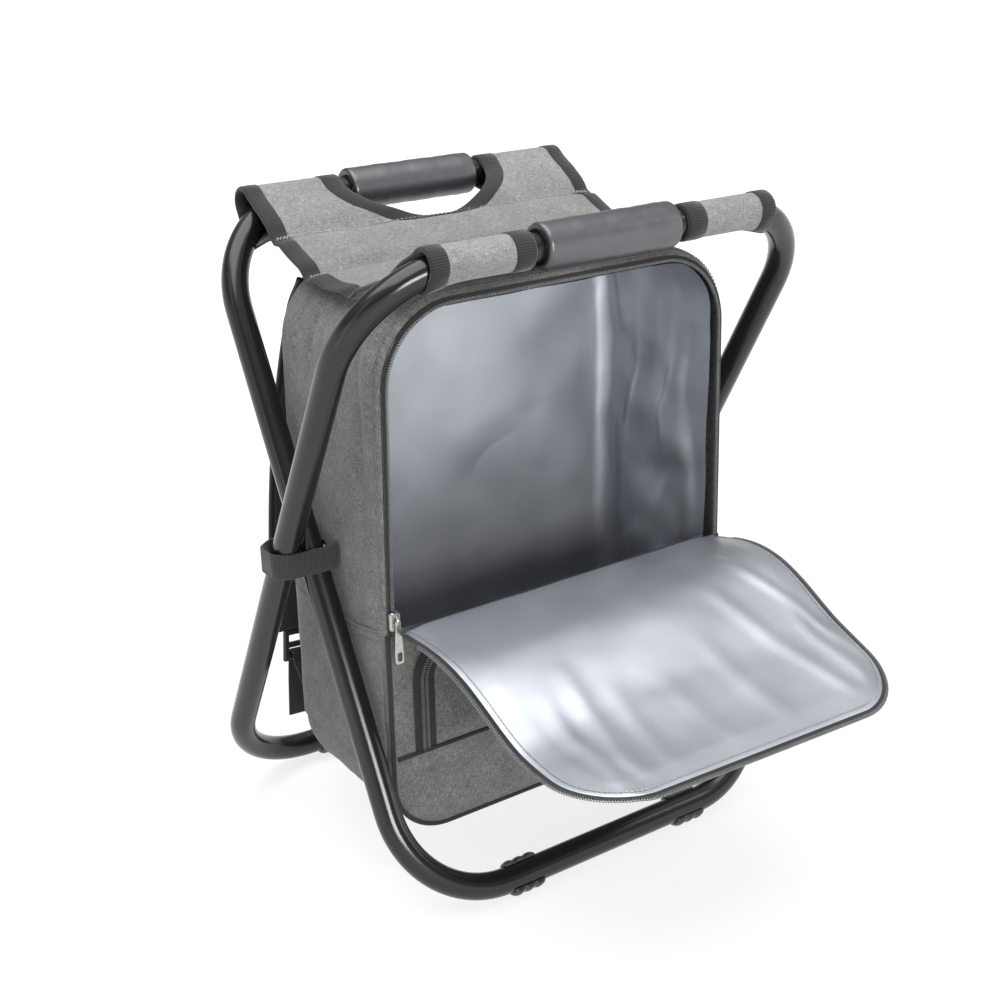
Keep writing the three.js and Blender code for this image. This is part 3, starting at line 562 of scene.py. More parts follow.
def grip(name, side, body):
    corner = (-GRIP_HALF + GRIP_EDGE, GRIP_RADIUS - GRIP_EDGE)
    end = [(-GRIP_HALF, BORE_RADIUS), *arc(corner, GRIP_EDGE, 180, 90, 7)]
    long = np.linspace(-44, 44, 24)
    waves = 0.12 * np.sin(0.21 * long) + 0.1 * np.sin(0.5 * long + 1)
    profile = [*end, *zip(long, GRIP_RADIUS + waves), *[(-x, r) for x, r in reversed(end)]]
    rings = turned(profile, 48) + (0, side * TOP_Y, TOP_Z)
    piece = Piece().loop(rings).place(f"{name}_foam", GRIP_FOAM, "grip_foam", name, body=body)


grip("grip_front", -1, "outer_frame")
grip("grip_rear", 1, "inner_frame")


# Clip-on feet: an open ring with three rounded ribs and a flattened sole
def foot(name, x_middle, y_middle, facing, body):
    half_gap, rib_pitch, sole_level, wall = 58.0, 8.0, -12.5, 9.35
    turn = np.radians(np.linspace(facing + half_gap, facing + 360 - half_gap, 46))
    sole = bell((np.degrees(turn) - 270 + 180) % 360 - 180, 34)
    lip = np.minimum(1.0, np.minimum(turn - turn[0], turn[-1] - turn) / 0.12)
    inner = BORE_RADIUS * np.stack([np.cos(turn[::-1]), np.sin(turn[::-1])], axis=1)
    rings = []
    for x in np.linspace(-FOOT_HALF, FOOT_HALF, 61):
        rib = (0.5 + 0.5 * cos(2 * pi * x / rib_pitch)) ** 0.6
        end = min(1.0, (FOOT_HALF - abs(x)) / 0.8)
        radius = 10.2 + 0.7 * end + rib * (1.0 + 0.9 * sole)
        radius = wall + (radius - wall) * np.sqrt(np.maximum(lip, 0.02))
        outer = np.stack([radius * np.cos(turn), np.maximum(radius * np.sin(turn), sole_level)], axis=1)
        ring = np.concatenate([outer, inner])
        rings.append(xyz(x, ring[:, 0], ring[:, 1]) + (x_middle, y_middle, BOTTOM_Z))
    Piece().rod(rings).place(f"{name}_ribbed", BLACK_PLASTIC, "black_plastic", name, body=body, sharp=50)


for name, side in SIDES:
    foot(f"foot_front_{name}", side * FRONT_FOOT_X, -BOTTOM_Y, 135, "inner_frame")
    foot(f"foot_rear_{name}", side * REAR_FOOT_X, BOTTOM_Y, 45, "outer_frame")

# Slung seat: one sheet that wraps both top bars, with an oval hand hole at each grip
LEAVE = radians(38.3)  # slope at which the sheet leaves a bar
LEAVE_Y = TOP_Y - SLEEVE_RADIUS * sin(LEAVE)
LEAVE_Z = TOP_Z + SLEEVE_RADIUS * cos(LEAVE)
SAG_LENGTH = 1.09  # length along the sag over its span
WRAP_STEPS = 30
TOP_STEPS = 64


def seat_height(x, y):
    """Top of the cloth between the bars: a sag, sewn seams with soft padding between, drooping sides."""
    sag = SEAT_LOW + (LEAVE_Z - SEAT_LOW) * (y / LEAVE_Y) ** 2
    inside = clamp((LEAVE_Y - 4 - np.abs(y)) / 12)
    seam = sum(bell(np.abs(y) - at, 5.0) for at in SEAMS)
    droop = 3.5 * (np.abs(x) / SEAT_HALF) ** 6 * clamp(1 - np.abs(y) / LEAVE_Y)
    uneven = 0.8 * ripple(xyz(x, y, 0.0), 45.0, 1, 2)
    return sag + inside * (2.4 + uneven - 4.6 * seam) - droop


def sleeve_path(x, side, steps):
    """Points round the outside of a sleeve, from where the sheet leaves the bar to the seam below."""
    bend_start = (OUTER_HALF if side < 0 else INNER_HALF) - BEND_RADIUS
    radius = BEND_RADIUS - TUBE_RADIUS
    drop = 0.8 + 0.92 * (radius - sqrt(radius**2 - max(abs(x) - bend_start, 0.0) ** 2))
    bar = np.array((TOP_Y, TOP_Z))
    seam_y = SEAMS[0] + 4
    tip = np.array([(seam_y, seat_height(0, seam_y) - SEAT_CLOTH - 2.4)])
    ring = circle(SLEEVE_RADIUS, 72)
    spots = np.concatenate([ring + bar, ring + bar * (1 - drop / TOP_REACH), tip])
    outline = spots[convex_hull_2d(spots.tolist())]
    turn = np.arctan2(outline[:, 1] - TOP_Z, outline[:, 0] - TOP_Y)
    start = np.argmin(np.abs(turn - (pi / 2 + LEAVE)))
    outline = np.roll(outline, -start, axis=0)[::-1]
    last = np.argmin(np.linalg.norm(outline - tip, axis=1))
    line = resampled(np.concatenate([[(LEAVE_Y, LEAVE_Z)], outline[:last + 1]]), steps)
    return xyz(x, side * line[:, 0], line[:, 1])


def hole_edge(x):
    """Distance of the seat's edge from its middle: nearer at the hand hole."""
    return LEAVE_Y - HOLE_DEPTH * np.sqrt(clamp(1 - (x / SLEEVE_START) ** 2))


def seat_top(x):
    y = np.linspace(-hole_edge(x), hole_edge(x), TOP_STEPS)
    return xyz(x, y, seat_height(x, y))


hole_xs = SLEEVE_START * np.sin(np.linspace(-pi / 2, pi / 2, 41))
sleeve_xs = np.linspace(SLEEVE_START, SEAT_HALF, 17)
seat_xs = np.concatenate([-sleeve_xs[:0:-1], hole_xs, sleeve_xs[1:]])
top = np.array([seat_top(x) for x in seat_xs])
seat = Piece().grid(top, uv=top[..., :2] * (1, SAG_LENGTH))
for side in (-1, 1):
    for end in (-1, 1):
        wrap = np.array([sleeve_path(end * x, side, WRAP_STEPS) for x in sleeve_xs])
        wrap[..., 2] += 0.35 * ripple(wrap, 16.0, 2, 2) * np.linspace(0, 1, WRAP_STEPS)
        run = side * (LEAVE_Y * SAG_LENGTH + np.linspace(0, 90, WRAP_STEPS))
        seat.grid(wrap, uv=xyz(wrap[..., 0], run, 0.0)[..., :2])
seat_cloth = seat.build("seat_cloth", SEAT_WEAVE, thickness=SEAT_CLOTH, weld=0.05)


def binding_section(width):
    """(distance in from the cloth's edge, height above the cloth's top) round a U of tape."""
    cover = 0.55
    upper = [(width, cover - 0.3), (width - 0.4, cover), (width / 2, cover + 0.1), (0.3, cover),
             (-0.7, cover - 0.6)]
    lower = [(inset, -SEAT_CLOTH - height) for inset, height in reversed(upper)]
    return [*upper, (-0.9, -SEAT_CLOTH / 2), *lower]


def sheet_normal(line):
    """Outward normals in the YZ plane along a run that goes over the seat."""
    return np.cross((1.0, 0, 0), tangents(line))


binding = Piece()
for end in (-1, 1):
    strips = []
    for inset, height in binding_section(SIDE_BINDING):
        x = end * (SEAT_HALF - inset)
        line = np.concatenate([sleeve_path(x, -1, 44)[::-1], seat_top(x)[1:-1], sleeve_path(x, 1, 44)])
        strips.append(line + sheet_normal(line) * height)
    binding.grid(np.stack(strips, axis=1))
for side in (-1, 1):
    edge_y = side * hole_edge(hole_xs)
    edge = xyz(hole_xs, edge_y, seat_height(hole_xs, edge_y))
    into = np.cross(tangents(edge * (1, 1, 0)), (0, 0, side))
    wrap = sleeve_path(-SLEEVE_START, side, WRAP_STEPS)
    wrap_normal = side * sheet_normal(wrap)
    strips = []
    for (wide, height), (narrow, _) in zip(binding_section(SLEEVE_BINDING), binding_section(HOLE_BINDING)):
        around = wrap + wrap_normal * height - (wide, 0, 0)
        inset = narrow + (wide - narrow) * (hole_xs[1:-1, None] / SLEEVE_START) ** 4
        over = edge[1:-1] + into[1:-1] * inset
        over[:, 2] = seat_height(over[:, 0], over[:, 1]) + height
        strips.append(np.concatenate([around[::-1], over, around * (-1, 1, 1)]))
    binding.grid(np.stack(strips, axis=1))
seat_binding = binding.build("seat_binding", BINDING)


# Seams across the seat, sewn in short stitches, with a bar tack at each end
def stitches(piece, line, normal, pitch=3.4, length=2.3, width=0.45, height=0.35):
    run = run_along(line)
    at = np.arange(pitch / 2, run[-1] - pitch / 2, pitch)
    ways = unit(picked(line, run, at + 0.5) - picked(line, run, at - 0.5))
    ups = unit(picked(np.broadcast_to(normal, line.shape), run, at))
    along = length * np.array([-0.5, -0.25, 0.25, 0.5])
    lift = height * np.array([-0.15, 1.0, 1.0, -0.15])
    for middle, way, up in zip(picked(line, run, at), ways, ups):
        core = middle + np.outer(along, way) + np.outer(lift, up)
        piece.rod(swept(core, circle(width, 6), up))


seams = Piece()
tacks = Piece()
seam_x = np.linspace(-118, 118, 90)
for side in (-1, 1):
    for at in SEAMS:
        stitches(seams, xyz(seam_x, side * at, seat_height(seam_x, side * at) + 0.1), (0, 0, 1))
        for end in (-1, 1):
            zig_x = end * np.linspace(114, 126, 11)
            zig_y = side * at + 1.1 * np.where(np.arange(11) % 2, 1, -1)
            zig = xyz(zig_x, zig_y, seat_height(zig_x, zig_y) + 1.0)
            tacks.rod(swept(zig, circle(0.42, 6), (0, 0, 1)))
seat_seams = seams.build("seat_seams", SEAT_THREAD)
seat_tacks = tacks.build("seat_bar_tacks", PALE_THREAD)

for piece in (seat_cloth, seat_binding, seat_seams, seat_tacks):
    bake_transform(piece)
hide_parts("seat_panel",
            "sleeve_front_left", "sleeve_front_right", "sleeve_rear_left", "sleeve_rear_right")

# Bag shell: sides that turn in to the zip, front and back panels, and piping
UPPER, LOWER = 150, 120  # points of the bag's outline above the sill and below it


def roof(y):
    """Underside of the seat's sag, which the bag's roof follows."""
    return SEAT_LOW + 44.0 * (y / TOP_Y) ** 2 - SEAT_CLOTH - 2.2


def soft_min(a, b, width):
    h = clamp(0.5 + 0.5 * (b - a) / width)
    return b + (a - b) * h - width * h * (1 - h)


def spread(points, amount):
    """Points, z last, widened towards the sill, and less and less below it."""
    points = np.array(points, float)
    height = points[..., -1]
    below = clamp(1 + (height - SILL_Z) / 45)
    points[..., 0] *= 1 + amount * np.where(height > SILL_Z, (60 - height) / (60 - SILL_Z), below)
    return points


def bag_outline(inset, spread_by=0.0):
    """Closed outline of the bag: the arch above the sill, then the sides and bottom below it."""
    half, low = BAG_HALF - inset, BAG_BOTTOM + inset
    radius = BAG_BOTTOM_RADIUS - inset
    over = resampled(arch_line(half, SILL_Z, BAG_TOP - inset, BAG_TOP_RADIUS - inset, 20), UPPER)
    under = [(-half, SILL_Z), *arc((-half + radius, low + radius), radius, 180, 270, 14),
             *arc((half - radius, low + radius), radius, 270, 360, 14), (half, SILL_Z)]
    return spread(np.concatenate([over, resampled(under, LOWER)[1:-1]]), spread_by)


def smoothed(values, passes=4):
    for _ in range(passes):
        values = (np.roll(values, 1) + 2 * values + np.roll(values, -1)) / 4
    return values


# Gathers in the sides, below the roof: y, depth, width and reach
GATHERS = ((13.0, 3.4, 4.0, 62.0), (-3.0, 2.2, 3.4, 44.0), (29.0, 2.4, 4.2, 52.0), (-45.0, 2.6, 5.0, 190.0))
columns = UPPER + LOWER - 2
outer = bag_outline(0.4, 0.008)
zip_edge = arch_line(OPENING_HALF + 3.0, SILL_Z, OPENING_TOP + 3.0, OPENING_RADIUS + 3.0)
zip_edge = spread(resampled(zip_edge, UPPER), OPENING_SPREAD)
front_edge = np.concatenate([zip_edge, bag_outline(2.2)[UPPER:]])
rear_edge = bag_outline(7.0)
roll_depth = smoothed(np.where(np.arange(columns) < UPPER, FRONT_ROLL, 3.0))
start_y = BAG_FRONT - 0.4 + roll_depth
rows = []
for angle in np.linspace(0, pi / 2, 9)[:-1]:
    flat = front_edge + (outer - front_edge) * sin(angle)
    rows.append(at_y(flat, start_y - roll_depth * cos(angle)))
for share in np.linspace(0, 1, 34):
    rows.append(at_y(outer, start_y + (BAG_REAR - REAR_ROLL - start_y) * share))
for angle in np.linspace(0, pi / 2, 8)[1:]:
    flat = rear_edge + (outer - rear_edge) * cos(angle)
    rows.append(at_y(flat, BAG_REAR + REAR_ROLL * (sin(angle) - 1)))
gusset = np.array(rows)
gusset_x, gusset_y, gusset_z = np.moveaxis(gusset.copy(), -1, 0)
side_share = np.sign(gusset_x) * clamp((np.abs(gusset_x) - 105) / 25)
low_share = clamp((-gusset_z - 150) / 40)
free = clamp(np.minimum(gusset_y - BAG_FRONT, BAG_REAR - gusset_y) / 16)
wave = ripple(gusset * (1.0, 1.0, 0.6), 36.0, 3, 3)
gathers = np.zeros_like(gusset_y)
for at, depth, width, reach in GATHERS:
    fade = clamp((gusset_z - (BAG_TOP - reach)) / (0.6 * reach))
    gathers += depth * fade * bell(gusset_y - at - 0.05 * (gusset_z - 150), width)
gusset[..., 0] += side_share * free * (0.8 + 1.1 * wave - gathers)
gusset[..., 2] -= low_share * free * (2.0 + 1.4 * wave)
gusset[..., 2] = soft_min(gusset[..., 2], roof(gusset_y), 6.0)
bag_sides = Piece().grid(gusset, close_cols=True)
bag_sides = bag_sides.place("bag_sides", BAG_WEAVE, "bag_cloth", "bag_gusset", thickness=1.5)
sewing = Piece()
seam = gusset[4, 2:UPPER - 2]
stitches(sewing, seam + (0, -0.3, 0), unit(seam * (1, 0, 1) + (0, -90, 0)), 3.0, 2.0, 0.35, 0.3)
sewing.place("opening_stitching", GREY_THREAD, "bag_cloth")

# Lower front panel, from the sill to the rounded bottom corners
panel_half = BAG_HALF - 2.4
panel_radius = BAG_BOTTOM_RADIUS - 2.4
panel_x = panel_half * np.sin(np.linspace(-1, 1, 90) * pi / 2)
past = np.clip(np.abs(panel_x) - (panel_half - panel_radius), 0, panel_radius)
panel_foot = BAG_BOTTOM + BAG_BOTTOM_RADIUS - np.sqrt(panel_radius**2 - past**2)
share = np.linspace(0, 1, 50)[:, None]
panel = xyz(panel_x, FRONT_Y, panel_foot * (1 - share) + SILL_Z * share)
hold = clamp((panel_half - np.abs(panel_x)) / 9) * clamp(np.minimum(share, 1 - share) * 9)
below_pocket = clamp((POCKET_BOTTOM + 4 - panel[..., 2]) / 12)
panel[..., 1] -= hold * (0.3 + 0.5 * ripple(panel, 34.0, 4, 3) + 1.8 * below_pocket)
front_panel = Piece().grid(panel, uv=panel[..., [0, 2]])
front_panel = front_panel.place("bag_front_cloth", BAG_WEAVE, "bag_cloth", "bag_front",
                                thickness=1.3, offset=1.0)

# Back panel: padded, sewn in three upright channels
back_middle = np.array([(0.0, 0.5 * (BAG_BOTTOM + BAG_TOP))])
back_flat = ring_between(rear_edge, back_middle + (rear_edge - back_middle) * 0.02, 40)
back = at_y(back_flat, BACK_Y)
hold = clamp(np.linspace(0, 1, 40) * 8)[:, None]
channel = sum(bell(back[..., 0] - x, 2.5) for x in (-46.0, 46.0))
back[..., 1] += hold * (0.5 - 1.5 * channel + 0.8 * ripple(back, 40.0, 5, 3)) - 1.4 * (1 - hold)
back_panel = Piece().grid(back, close_cols=True, uv=back_flat).fill(columns)
back_panel = back_panel.place("bag_back_cloth", BAG_WEAVE, "bag_cloth", "bag_back", thickness=1.3)

# Piping: black round the lower front seam, a cord in the bag's own cloth round the back seam
under = np.concatenate([bag_outline(1.3)[UPPER - 1:], [(BAG_HALF - 1.3, SILL_Z)]])
lower_piping = Piece().rod(swept(at_y(under, FRONT_Y + 0.7), circle(1.9, 12), (0, 1, 0)))
lower_piping.place("piping_front_cord", BINDING, "black_webbing", "piping_front")
cord = at_y(rear_edge * (1.005, 1.0), BAG_REAR - 0.2)
cord[:, 2] = soft_min(cord[:, 2], roof(cord[:, 1]), 4.0)
back_cord = Piece().loop(swept(cord, circle(1.5, 10), (0, 1, 0), closed=True))
back_cord.place("piping_back_cord", BAG_WEAVE, "black_webbing", "piping_back")

# Silver lining: walls with a rounded turn into the back, and the inside of the lower front
LINER_COLS = 220


def liner_loop(inset):
    half = LINER_HALF - inset
    radii = (33 - 0.6 * inset, 41 - 0.6 * inset)
    loop = rounded_loop(-half, half, LINER_BOTTOM + inset, LINER_TOP - inset, *radii, 14)
    return resampled(loop, LINER_COLS, closed=True)


turn_y = LINER_BACK - LINER_TURN
rings = [(0.0, y) for y in np.linspace(BAG_FRONT + 3.2, turn_y, 36)]
for a in np.linspace(0, pi / 2, 9)[1:]:
    rings.append((LINER_TURN * (1 - cos(a)), turn_y + LINER_TURN * sin(a)))
walls = np.array([at_y(liner_loop(inset), y) for inset, y in rings])
inward = -unit(liner_loop(0) * (1.4, 1.0))
on_side = clamp((np.abs(walls[..., 0]) - 88) / 34)
depth = clamp((walls[..., 1] - BAG_FRONT) / (LINER_BACK - BAG_FRONT))
slack = np.sin(pi * depth) ** 0.6
folds = ripple(walls * (1.0, 1.0, 0.35), 34.0, 6, 2)
soft = ripple(walls * (1.0, 0.7, 1.0), 60.0, 16, 2)
push = slack * (1.5 + on_side * (8.0 * np.maximum(folds, -0.25) + 8.0 * np.maximum(soft, 0)) + 1.8 * folds)
walls += at_y(inward, 0.0) * push[..., None]
walls[..., 2] = soft_min(walls[..., 2], roof(walls[..., 1]) - 8.5, 8.0)
lining = Piece().grid(walls, close_cols=True)
hub = np.array([0.0, LINER_BACK, 0.0])
back_wall = ring_between(walls[-1], hub + (walls[-1] - hub) * 0.015, 46)
loose = clamp(np.linspace(0, 1, 46) * 7)[:, None]
bulge = np.maximum(ripple(back_wall * (0.8, 1.0, 1.0), 90.0, 7, 2), -0.2)
back_wall[..., 1] = LINER_BACK - loose * (0.6 + 3.0 * bulge)
lining.grid(back_wall, close_cols=True, uv=back_wall[..., [0, 2]]).fill(LINER_COLS)
apron = xyz(np.linspace(-127, 127, 40), BAG_FRONT + 0.6, np.linspace(-176, SILL_Z + 1, 24)[:, None])
apron[..., 1] += 1.0 + 0.8 * ripple(apron, 40.0, 8, 2)
lining.grid(apron, uv=apron[..., [0, 2]])
lining_piece = lining.place("silver_lining", FILM, "silver_lining", "liner", "insulation", weld=0.02)

# Zip tapes and their teeth
TOOTH_PITCH = 1.65
TOOTH_OUT = 0.8  # from the line of the chain to a tooth's middle
TOOTH_HALVES = (0.525, 1.2, 0.8)  # along the chain, out from the tape and up
CORNERS = ((-1, -1), (1, -1), (1, 1), (-1, 1))


def teeth(piece, line, out, up):
    """Rounded blocks along a line; out points towards the other half of the zip."""
    run = run_along(line)
    at = np.arange(TOOTH_PITCH, run[-1] - TOOTH_PITCH, TOOTH_PITCH)
    outs = unit(picked(out, run, at))
    ups = unit(picked(up, run, at))
    middles = picked(line, run, at) + TOOTH_OUT * outs
    w, d, h = TOOTH_HALVES
    for middle, o, u, a in zip(middles, outs, ups, unit(np.cross(outs, ups))):
        rings = []
        for wide, deep, rise in ((w, d, -h), (w, d, 0.4 * h), (0.6 * w, 0.7 * d, h)):
            rings.append([middle + a * (sx * wide) + o * (sy * deep) + u * rise for sx, sy in CORNERS])
        piece.rod(rings)


def arch_zip(name, half, top, bottom, radius, y, near, far, chains, widen):
    """Tape along an arch between two offsets, and teeth at each (offset, direction) in chains."""
    def line_at(offset, rise):
        line = resampled(arch_line(half + offset, bottom, top + offset, radius + offset), 140)
        return at_y(spread(line, widen), y + rise)

    section = ((near, 0.0), (near, -0.7), ((near + far) / 2, -0.9), (far, -0.7), (far, 0.0))
    lines = [line_at(*spot) for spot in section]
    tape = Piece().rod(np.stack(lines, axis=1))
    tape.place(f"{name}_tape", ZIP_TAPE, "black_webbing", name, sharp=60)
    row = Piece()
    for offset, way in chains:
        path = line_at(offset, -1.1)
        teeth(row, path, unit(lines[0] - lines[-1]) * way, np.broadcast_to((0, -1.0, 0), path.shape))
    row.place(f"{name}_teeth", TEETH_PAINTED_HIGHLIGHT, "black_webbing", sharp=40)


arch_zip("opening_zip", OPENING_HALF, OPENING_TOP, SILL_Z, OPENING_RADIUS, FRONT_Y, 0.6, TAPE_WIDTH,
         [(1.2, 1.0)], OPENING_SPREAD)
middle = POCKET_ZIP_WIDTH / 2
arch_zip("pocket_zip", POCKET_HALF, POCKET_TOP, POCKET_BOTTOM - 3.0, POCKET_RADIUS, FRONT_Y - 0.9, 0.3,
         POCKET_ZIP_WIDTH, [(middle - 0.4, 1.0), (middle + 1.2, -1.0)], 0.0)

# Fold-down door: drawn shut and flat, then laid open about the hinge and its soft bend
HINGE = np.array((0.0, DOOR_HINGE_Y, SILL_Z))


def turn_x(points, about, angle):
    """Turns points about an X-parallel line; angle may differ from point to point."""
    x, y, z = np.moveaxis(points - about, -1, 0)
    c, s = np.cos(angle), np.sin(angle)
    return xyz(x, y * c - z * s, y * s + z * c) + about


FLEX = turn_x(HINGE + (0, 0, DOOR_FOLD), HINGE, DOOR_SHUT)
BEND_START = turn_x(HINGE + (0, 0, -15.0), HINGE, DOOR_SHUT)
BEND_END = turn_x(turn_x(HINGE + (0, 0, 132.0), HINGE, DOOR_SHUT), FLEX, DOOR_DROOP)


def laid_open(shut):
    """The open shape whose bend, undone as the door shuts, leaves it flat but for a soft sag and curl."""
    shut = spread(shut + (0, 0, SILL_Z), OPENING_SPREAD) - (0, 0, SILL_Z)
    reach = np.clip(shut[..., 2] / DOOR_LENGTH, 0, 1.02)
    leftness = 0.5 - shut[..., 0] / (2 * DOOR_HALF)
    curl = (2.0 + 8.0 * leftness) * clamp((reach - 0.6) / 0.4) ** 2
    sag = 17.0 * np.sin(pi * np.minimum(reach, 1.0)) * leftness**2
    shut[..., 1] += curl - sag - 3.0 * reach * (1 - leftness)
    level = turn_x(HINGE + shut, HINGE, DOOR_SHUT)
    rest = level
    way = BEND_END - BEND_START
    for _ in range(30):
        share = clamp(((rest - BEND_START) @ way) / (way @ way))
        rest = turn_x(level, FLEX, share * share * (3 - 2 * share) * DOOR_DROOP)
    return rest


def door_half_width(along):
    past = clamp((along - (DOOR_LENGTH - DOOR_RADIUS)) / DOOR_RADIUS)
    return DOOR_HALF - DOOR_RADIUS * (1 - np.sqrt(1 - past**2))


# Folds of the door's lining: x at their start, slant, width, height and start along the door
DOOR_FOLDS = ((-92, -0.06, 5.0, 1.2, 100), (-70, -0.12, 6.0, 1.3, 84), (-47, -0.16, 5.0, 0.8, 104),
              (-16, 0.04, 8.0, 0.7, 112), (24, 0.1, 7.0, 0.8, 96), (52, 0.3, 6.0, 1.2, 62),
              (74, 0.36, 4.5, 1.3, 24), (96, 0.14, 5.0, 1.0, 96))
straight = np.linspace(0, DOOR_LENGTH - DOOR_RADIUS, 46, endpoint=False)
crown = DOOR_LENGTH - DOOR_RADIUS + DOOR_RADIUS * np.sin(np.linspace(0, pi / 2, 24))
along = np.concatenate([straight, crown])[:, None]
fan = pi / 2 * 0.92  # crowds the columns towards the door's edges
across = np.sin(np.linspace(-fan, fan, 72)) / sin(fan)
door_x, door_l = np.broadcast_arrays(across * door_half_width(along), along)
inset = np.minimum(door_half_width(door_l) - np.abs(door_x), DOOR_LENGTH - door_l)
puff = clamp(inset / 16) ** 0.6
spot = xyz(door_x, 0.0, door_l)
rumple = ripple(spot * (0.7, 1.0, 1.0), 60.0, 10, 2)
folds = np.zeros_like(door_x)
for at, way, width, depth, start in DOOR_FOLDS:
    middle = at + way * (door_l - start) + 3.0 * ripple(spot, 30.0, 20 + at, 1)
    fade = clamp((door_l - start) / 30) * clamp((DOOR_LENGTH - 8 - door_l) / 16)
    folds += depth * fade * bell(door_x - middle, width)
lining_lift = 0.6 + puff * (2.8 + 1.0 * rumple + folds)
cloth_drop = -0.6 - puff * (2.0 + 0.7 * ripple(spot, 40.0, 11, 2))
upper_face = laid_open(xyz(door_x, lining_lift, door_l))
lower_face = laid_open(xyz(door_x, cloth_drop, door_l))
door_film = Piece().grid(upper_face, uv=spot[..., [0, 2]]).build("door_film", FILM, 0.5)
door_cloth = Piece().grid(lower_face, uv=spot[..., [0, 2]]).build("door_cloth", BAG_WEAVE, 1.2)


def door_edge(offset):
    """Points round the door's free edges, from the right end of the hinge to the left."""
    line = arch_line(DOOR_HALF + offset, 2.0, DOOR_LENGTH + offset, DOOR_RADIUS + offset)
    return at_y(resampled(line, 150), 0.0)


edge_near = door_edge(-1.0)
edge_far = door_edge(TAPE_WIDTH - 1.4)
tape_rows = []
for share, lift in ((0, -0.75), (0.5, -0.95), (1, -0.7), (1, 0.7), (0.5, 0.95), (0, 0.75)):
    tape_rows.append(laid_open(edge_near * (1 - share) + edge_far * share + (0, lift, 0)))
door_tape = Piece().rod(np.stack(tape_rows, axis=1)).build("door_zip_tape", ZIP_TAPE, sharp=60)
door_row = Piece()
far = laid_open(edge_far)
out = unit(far - laid_open(edge_near))
up = unit(laid_open(edge_far + (0, 1.0, 0)) - far)
teeth(door_row, far[4:-4], out[4:-4], up[4:-4])
door_chain = door_row.build("door_zip_teeth", TEETH_PAINTED_HIGHLIGHT, sharp=40)
rim_sewing = Piece()
stitches(rim_sewing, laid_open(door_edge(-3.4) + (0, 2.35, 0)), up, 3.0, 2.0, 0.32, 0.25)
door_stitching = rim_sewing.build("door_stitching", FILM)
for piece, slot in ((door_film, "silver_lining"), (door_cloth, "bag_cloth"), (door_tape, "black_webbing"),
                    (door_chain, "black_webbing"), (door_stitching, "silver_lining")):
    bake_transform(piece)
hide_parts("door_lining_lower", "door_lining_upper")
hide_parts("door_panel_lower", "door_panel_upper")
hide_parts("door_zip_lower_left", "door_zip_lower_right", "door_zip_upper")


# Zip sliders and pulls
def slider(name, x, z):
    """A waisted body with a bail on its front."""
    y = FRONT_Y - 1.8
    u, v = rounded_loop(-3.7, 3.7, -6.4, 6.4, 1.2, 2.4, 5).T
    waist = 1 - 0.16 * bell(v, 2.6)
    rings = []
    for level, grow in ((0.0, 0.86), (-0.7, 1.0), (-3.2, 1.0), (-4.0, 0.8)):
        rings.append(xyz(x + u * grow * waist, y + level, z + v * (0.94 if grow < 1 else 1.0)))
    bail = np.array(((3.4, 3.6), (5.4, 3.2), (6.3, 1.4), (6.3, -0.6), (5.4, -2.0), (3.4, -2.2)))
    bail = resampled(xyz(x, y - bail[:, 0], z + bail[:, 1]), 16)
    piece = Piece().rod(rings).rod(swept(bail, circle(0.75, 10), (1, 0, 0)))
    body = f"{name}_slider"
    piece.place(f"{body}_plated", STEEL, "zip_metal", body, body=body, sharp=45)


def pull(name, x, y, z):
    """A flat tongue, wider and with a rounded eye at its lower end, and a ring at its top."""
    length, top_half, low_half = 29.5, 1.5, 3.4
    eye = rounded_loop(-1.7, 1.7, -27.0, -20.5, 1.5, 1.5, 6) + (x, z)
    across, height = rounded_loop(-1.0, 1.0, 0.0, 1.0, 0.25, 0.25, 6).T
    half = top_half + (low_half - top_half) * (1 - height) ** 0.7
    rings = []
    for level, inset_by in ((0.75, 0.35), (0.4, 0.0), (-0.4, 0.0), (-0.75, 0.35)):
        rings.append(xyz(x + across * (half - inset_by), y + level, z + 0.8 - length * (1 - height)))
    rings += [at_y(eye, y - 0.75), at_y(eye, y + 0.75)]
    ring = at_y(circle(1.0, 16) * (1.5, 1.9) + (x, z - 0.6), y)
    piece = Piece().loop(rings).loop(swept(ring, circle(0.7, 8), (0, 1, 0), closed=True))
    body = f"{name}_pull"
    piece.place(f"{body}_plated", STEEL, "zip_metal", body, body=body, sharp=45)


for name, slider_shift in (("door", -0.6), ("pocket", 0.0)):
    swing_x, swing_y, swing_z = (np.array(JOINTS[f"{name}_pull_swing"]["pos_m"]) - PIVOT) / MM
    slider(name, swing_x + slider_shift, swing_z)
    pull(name, swing_x, swing_y, swing_z)

# Pocket below the door: a bellied patch inside its zip
pocket_rim = resampled(arch_line(POCKET_HALF + 1.0, POCKET_BOTTOM, POCKET_TOP + 1.0, POCKET_RADIUS), 120)
base_x = np.linspace(-POCKET_HALF - 1.0, POCKET_HALF + 1.0, 62)[1:-1]
pocket_rim = np.concatenate([pocket_rim, [(x, POCKET_BOTTOM) for x in base_x]])
hub = np.array([(0.0, 0.5 * (POCKET_TOP + POCKET_BOTTOM))])
pocket_flat = ring_between(pocket_rim, hub + (pocket_rim - hub) * (0.72, 0.02), 26)
pocket = at_y(pocket_flat, 0.0)
rise = np.sin(clamp(np.linspace(0, 1, 26) * 2.2) * pi / 2)[:, None]
pocket[..., 1] = FRONT_Y - 1.6 - rise * (3.4 + 1.3 * ripple(pocket, 34.0, 12, 3))
pocket_cloth = Piece().grid(pocket, close_cols=True, uv=pocket_flat).fill(len(pocket_rim))
pocket_cloth = pocket_cloth.place("front_pocket_cloth", BAG_WEAVE, "bag_cloth", "front_pocket", thickness=1.2)
hem = xyz(np.linspace(-135, 135, 40), FRONT_Y - 2.0, POCKET_BOTTOM - 1.5)
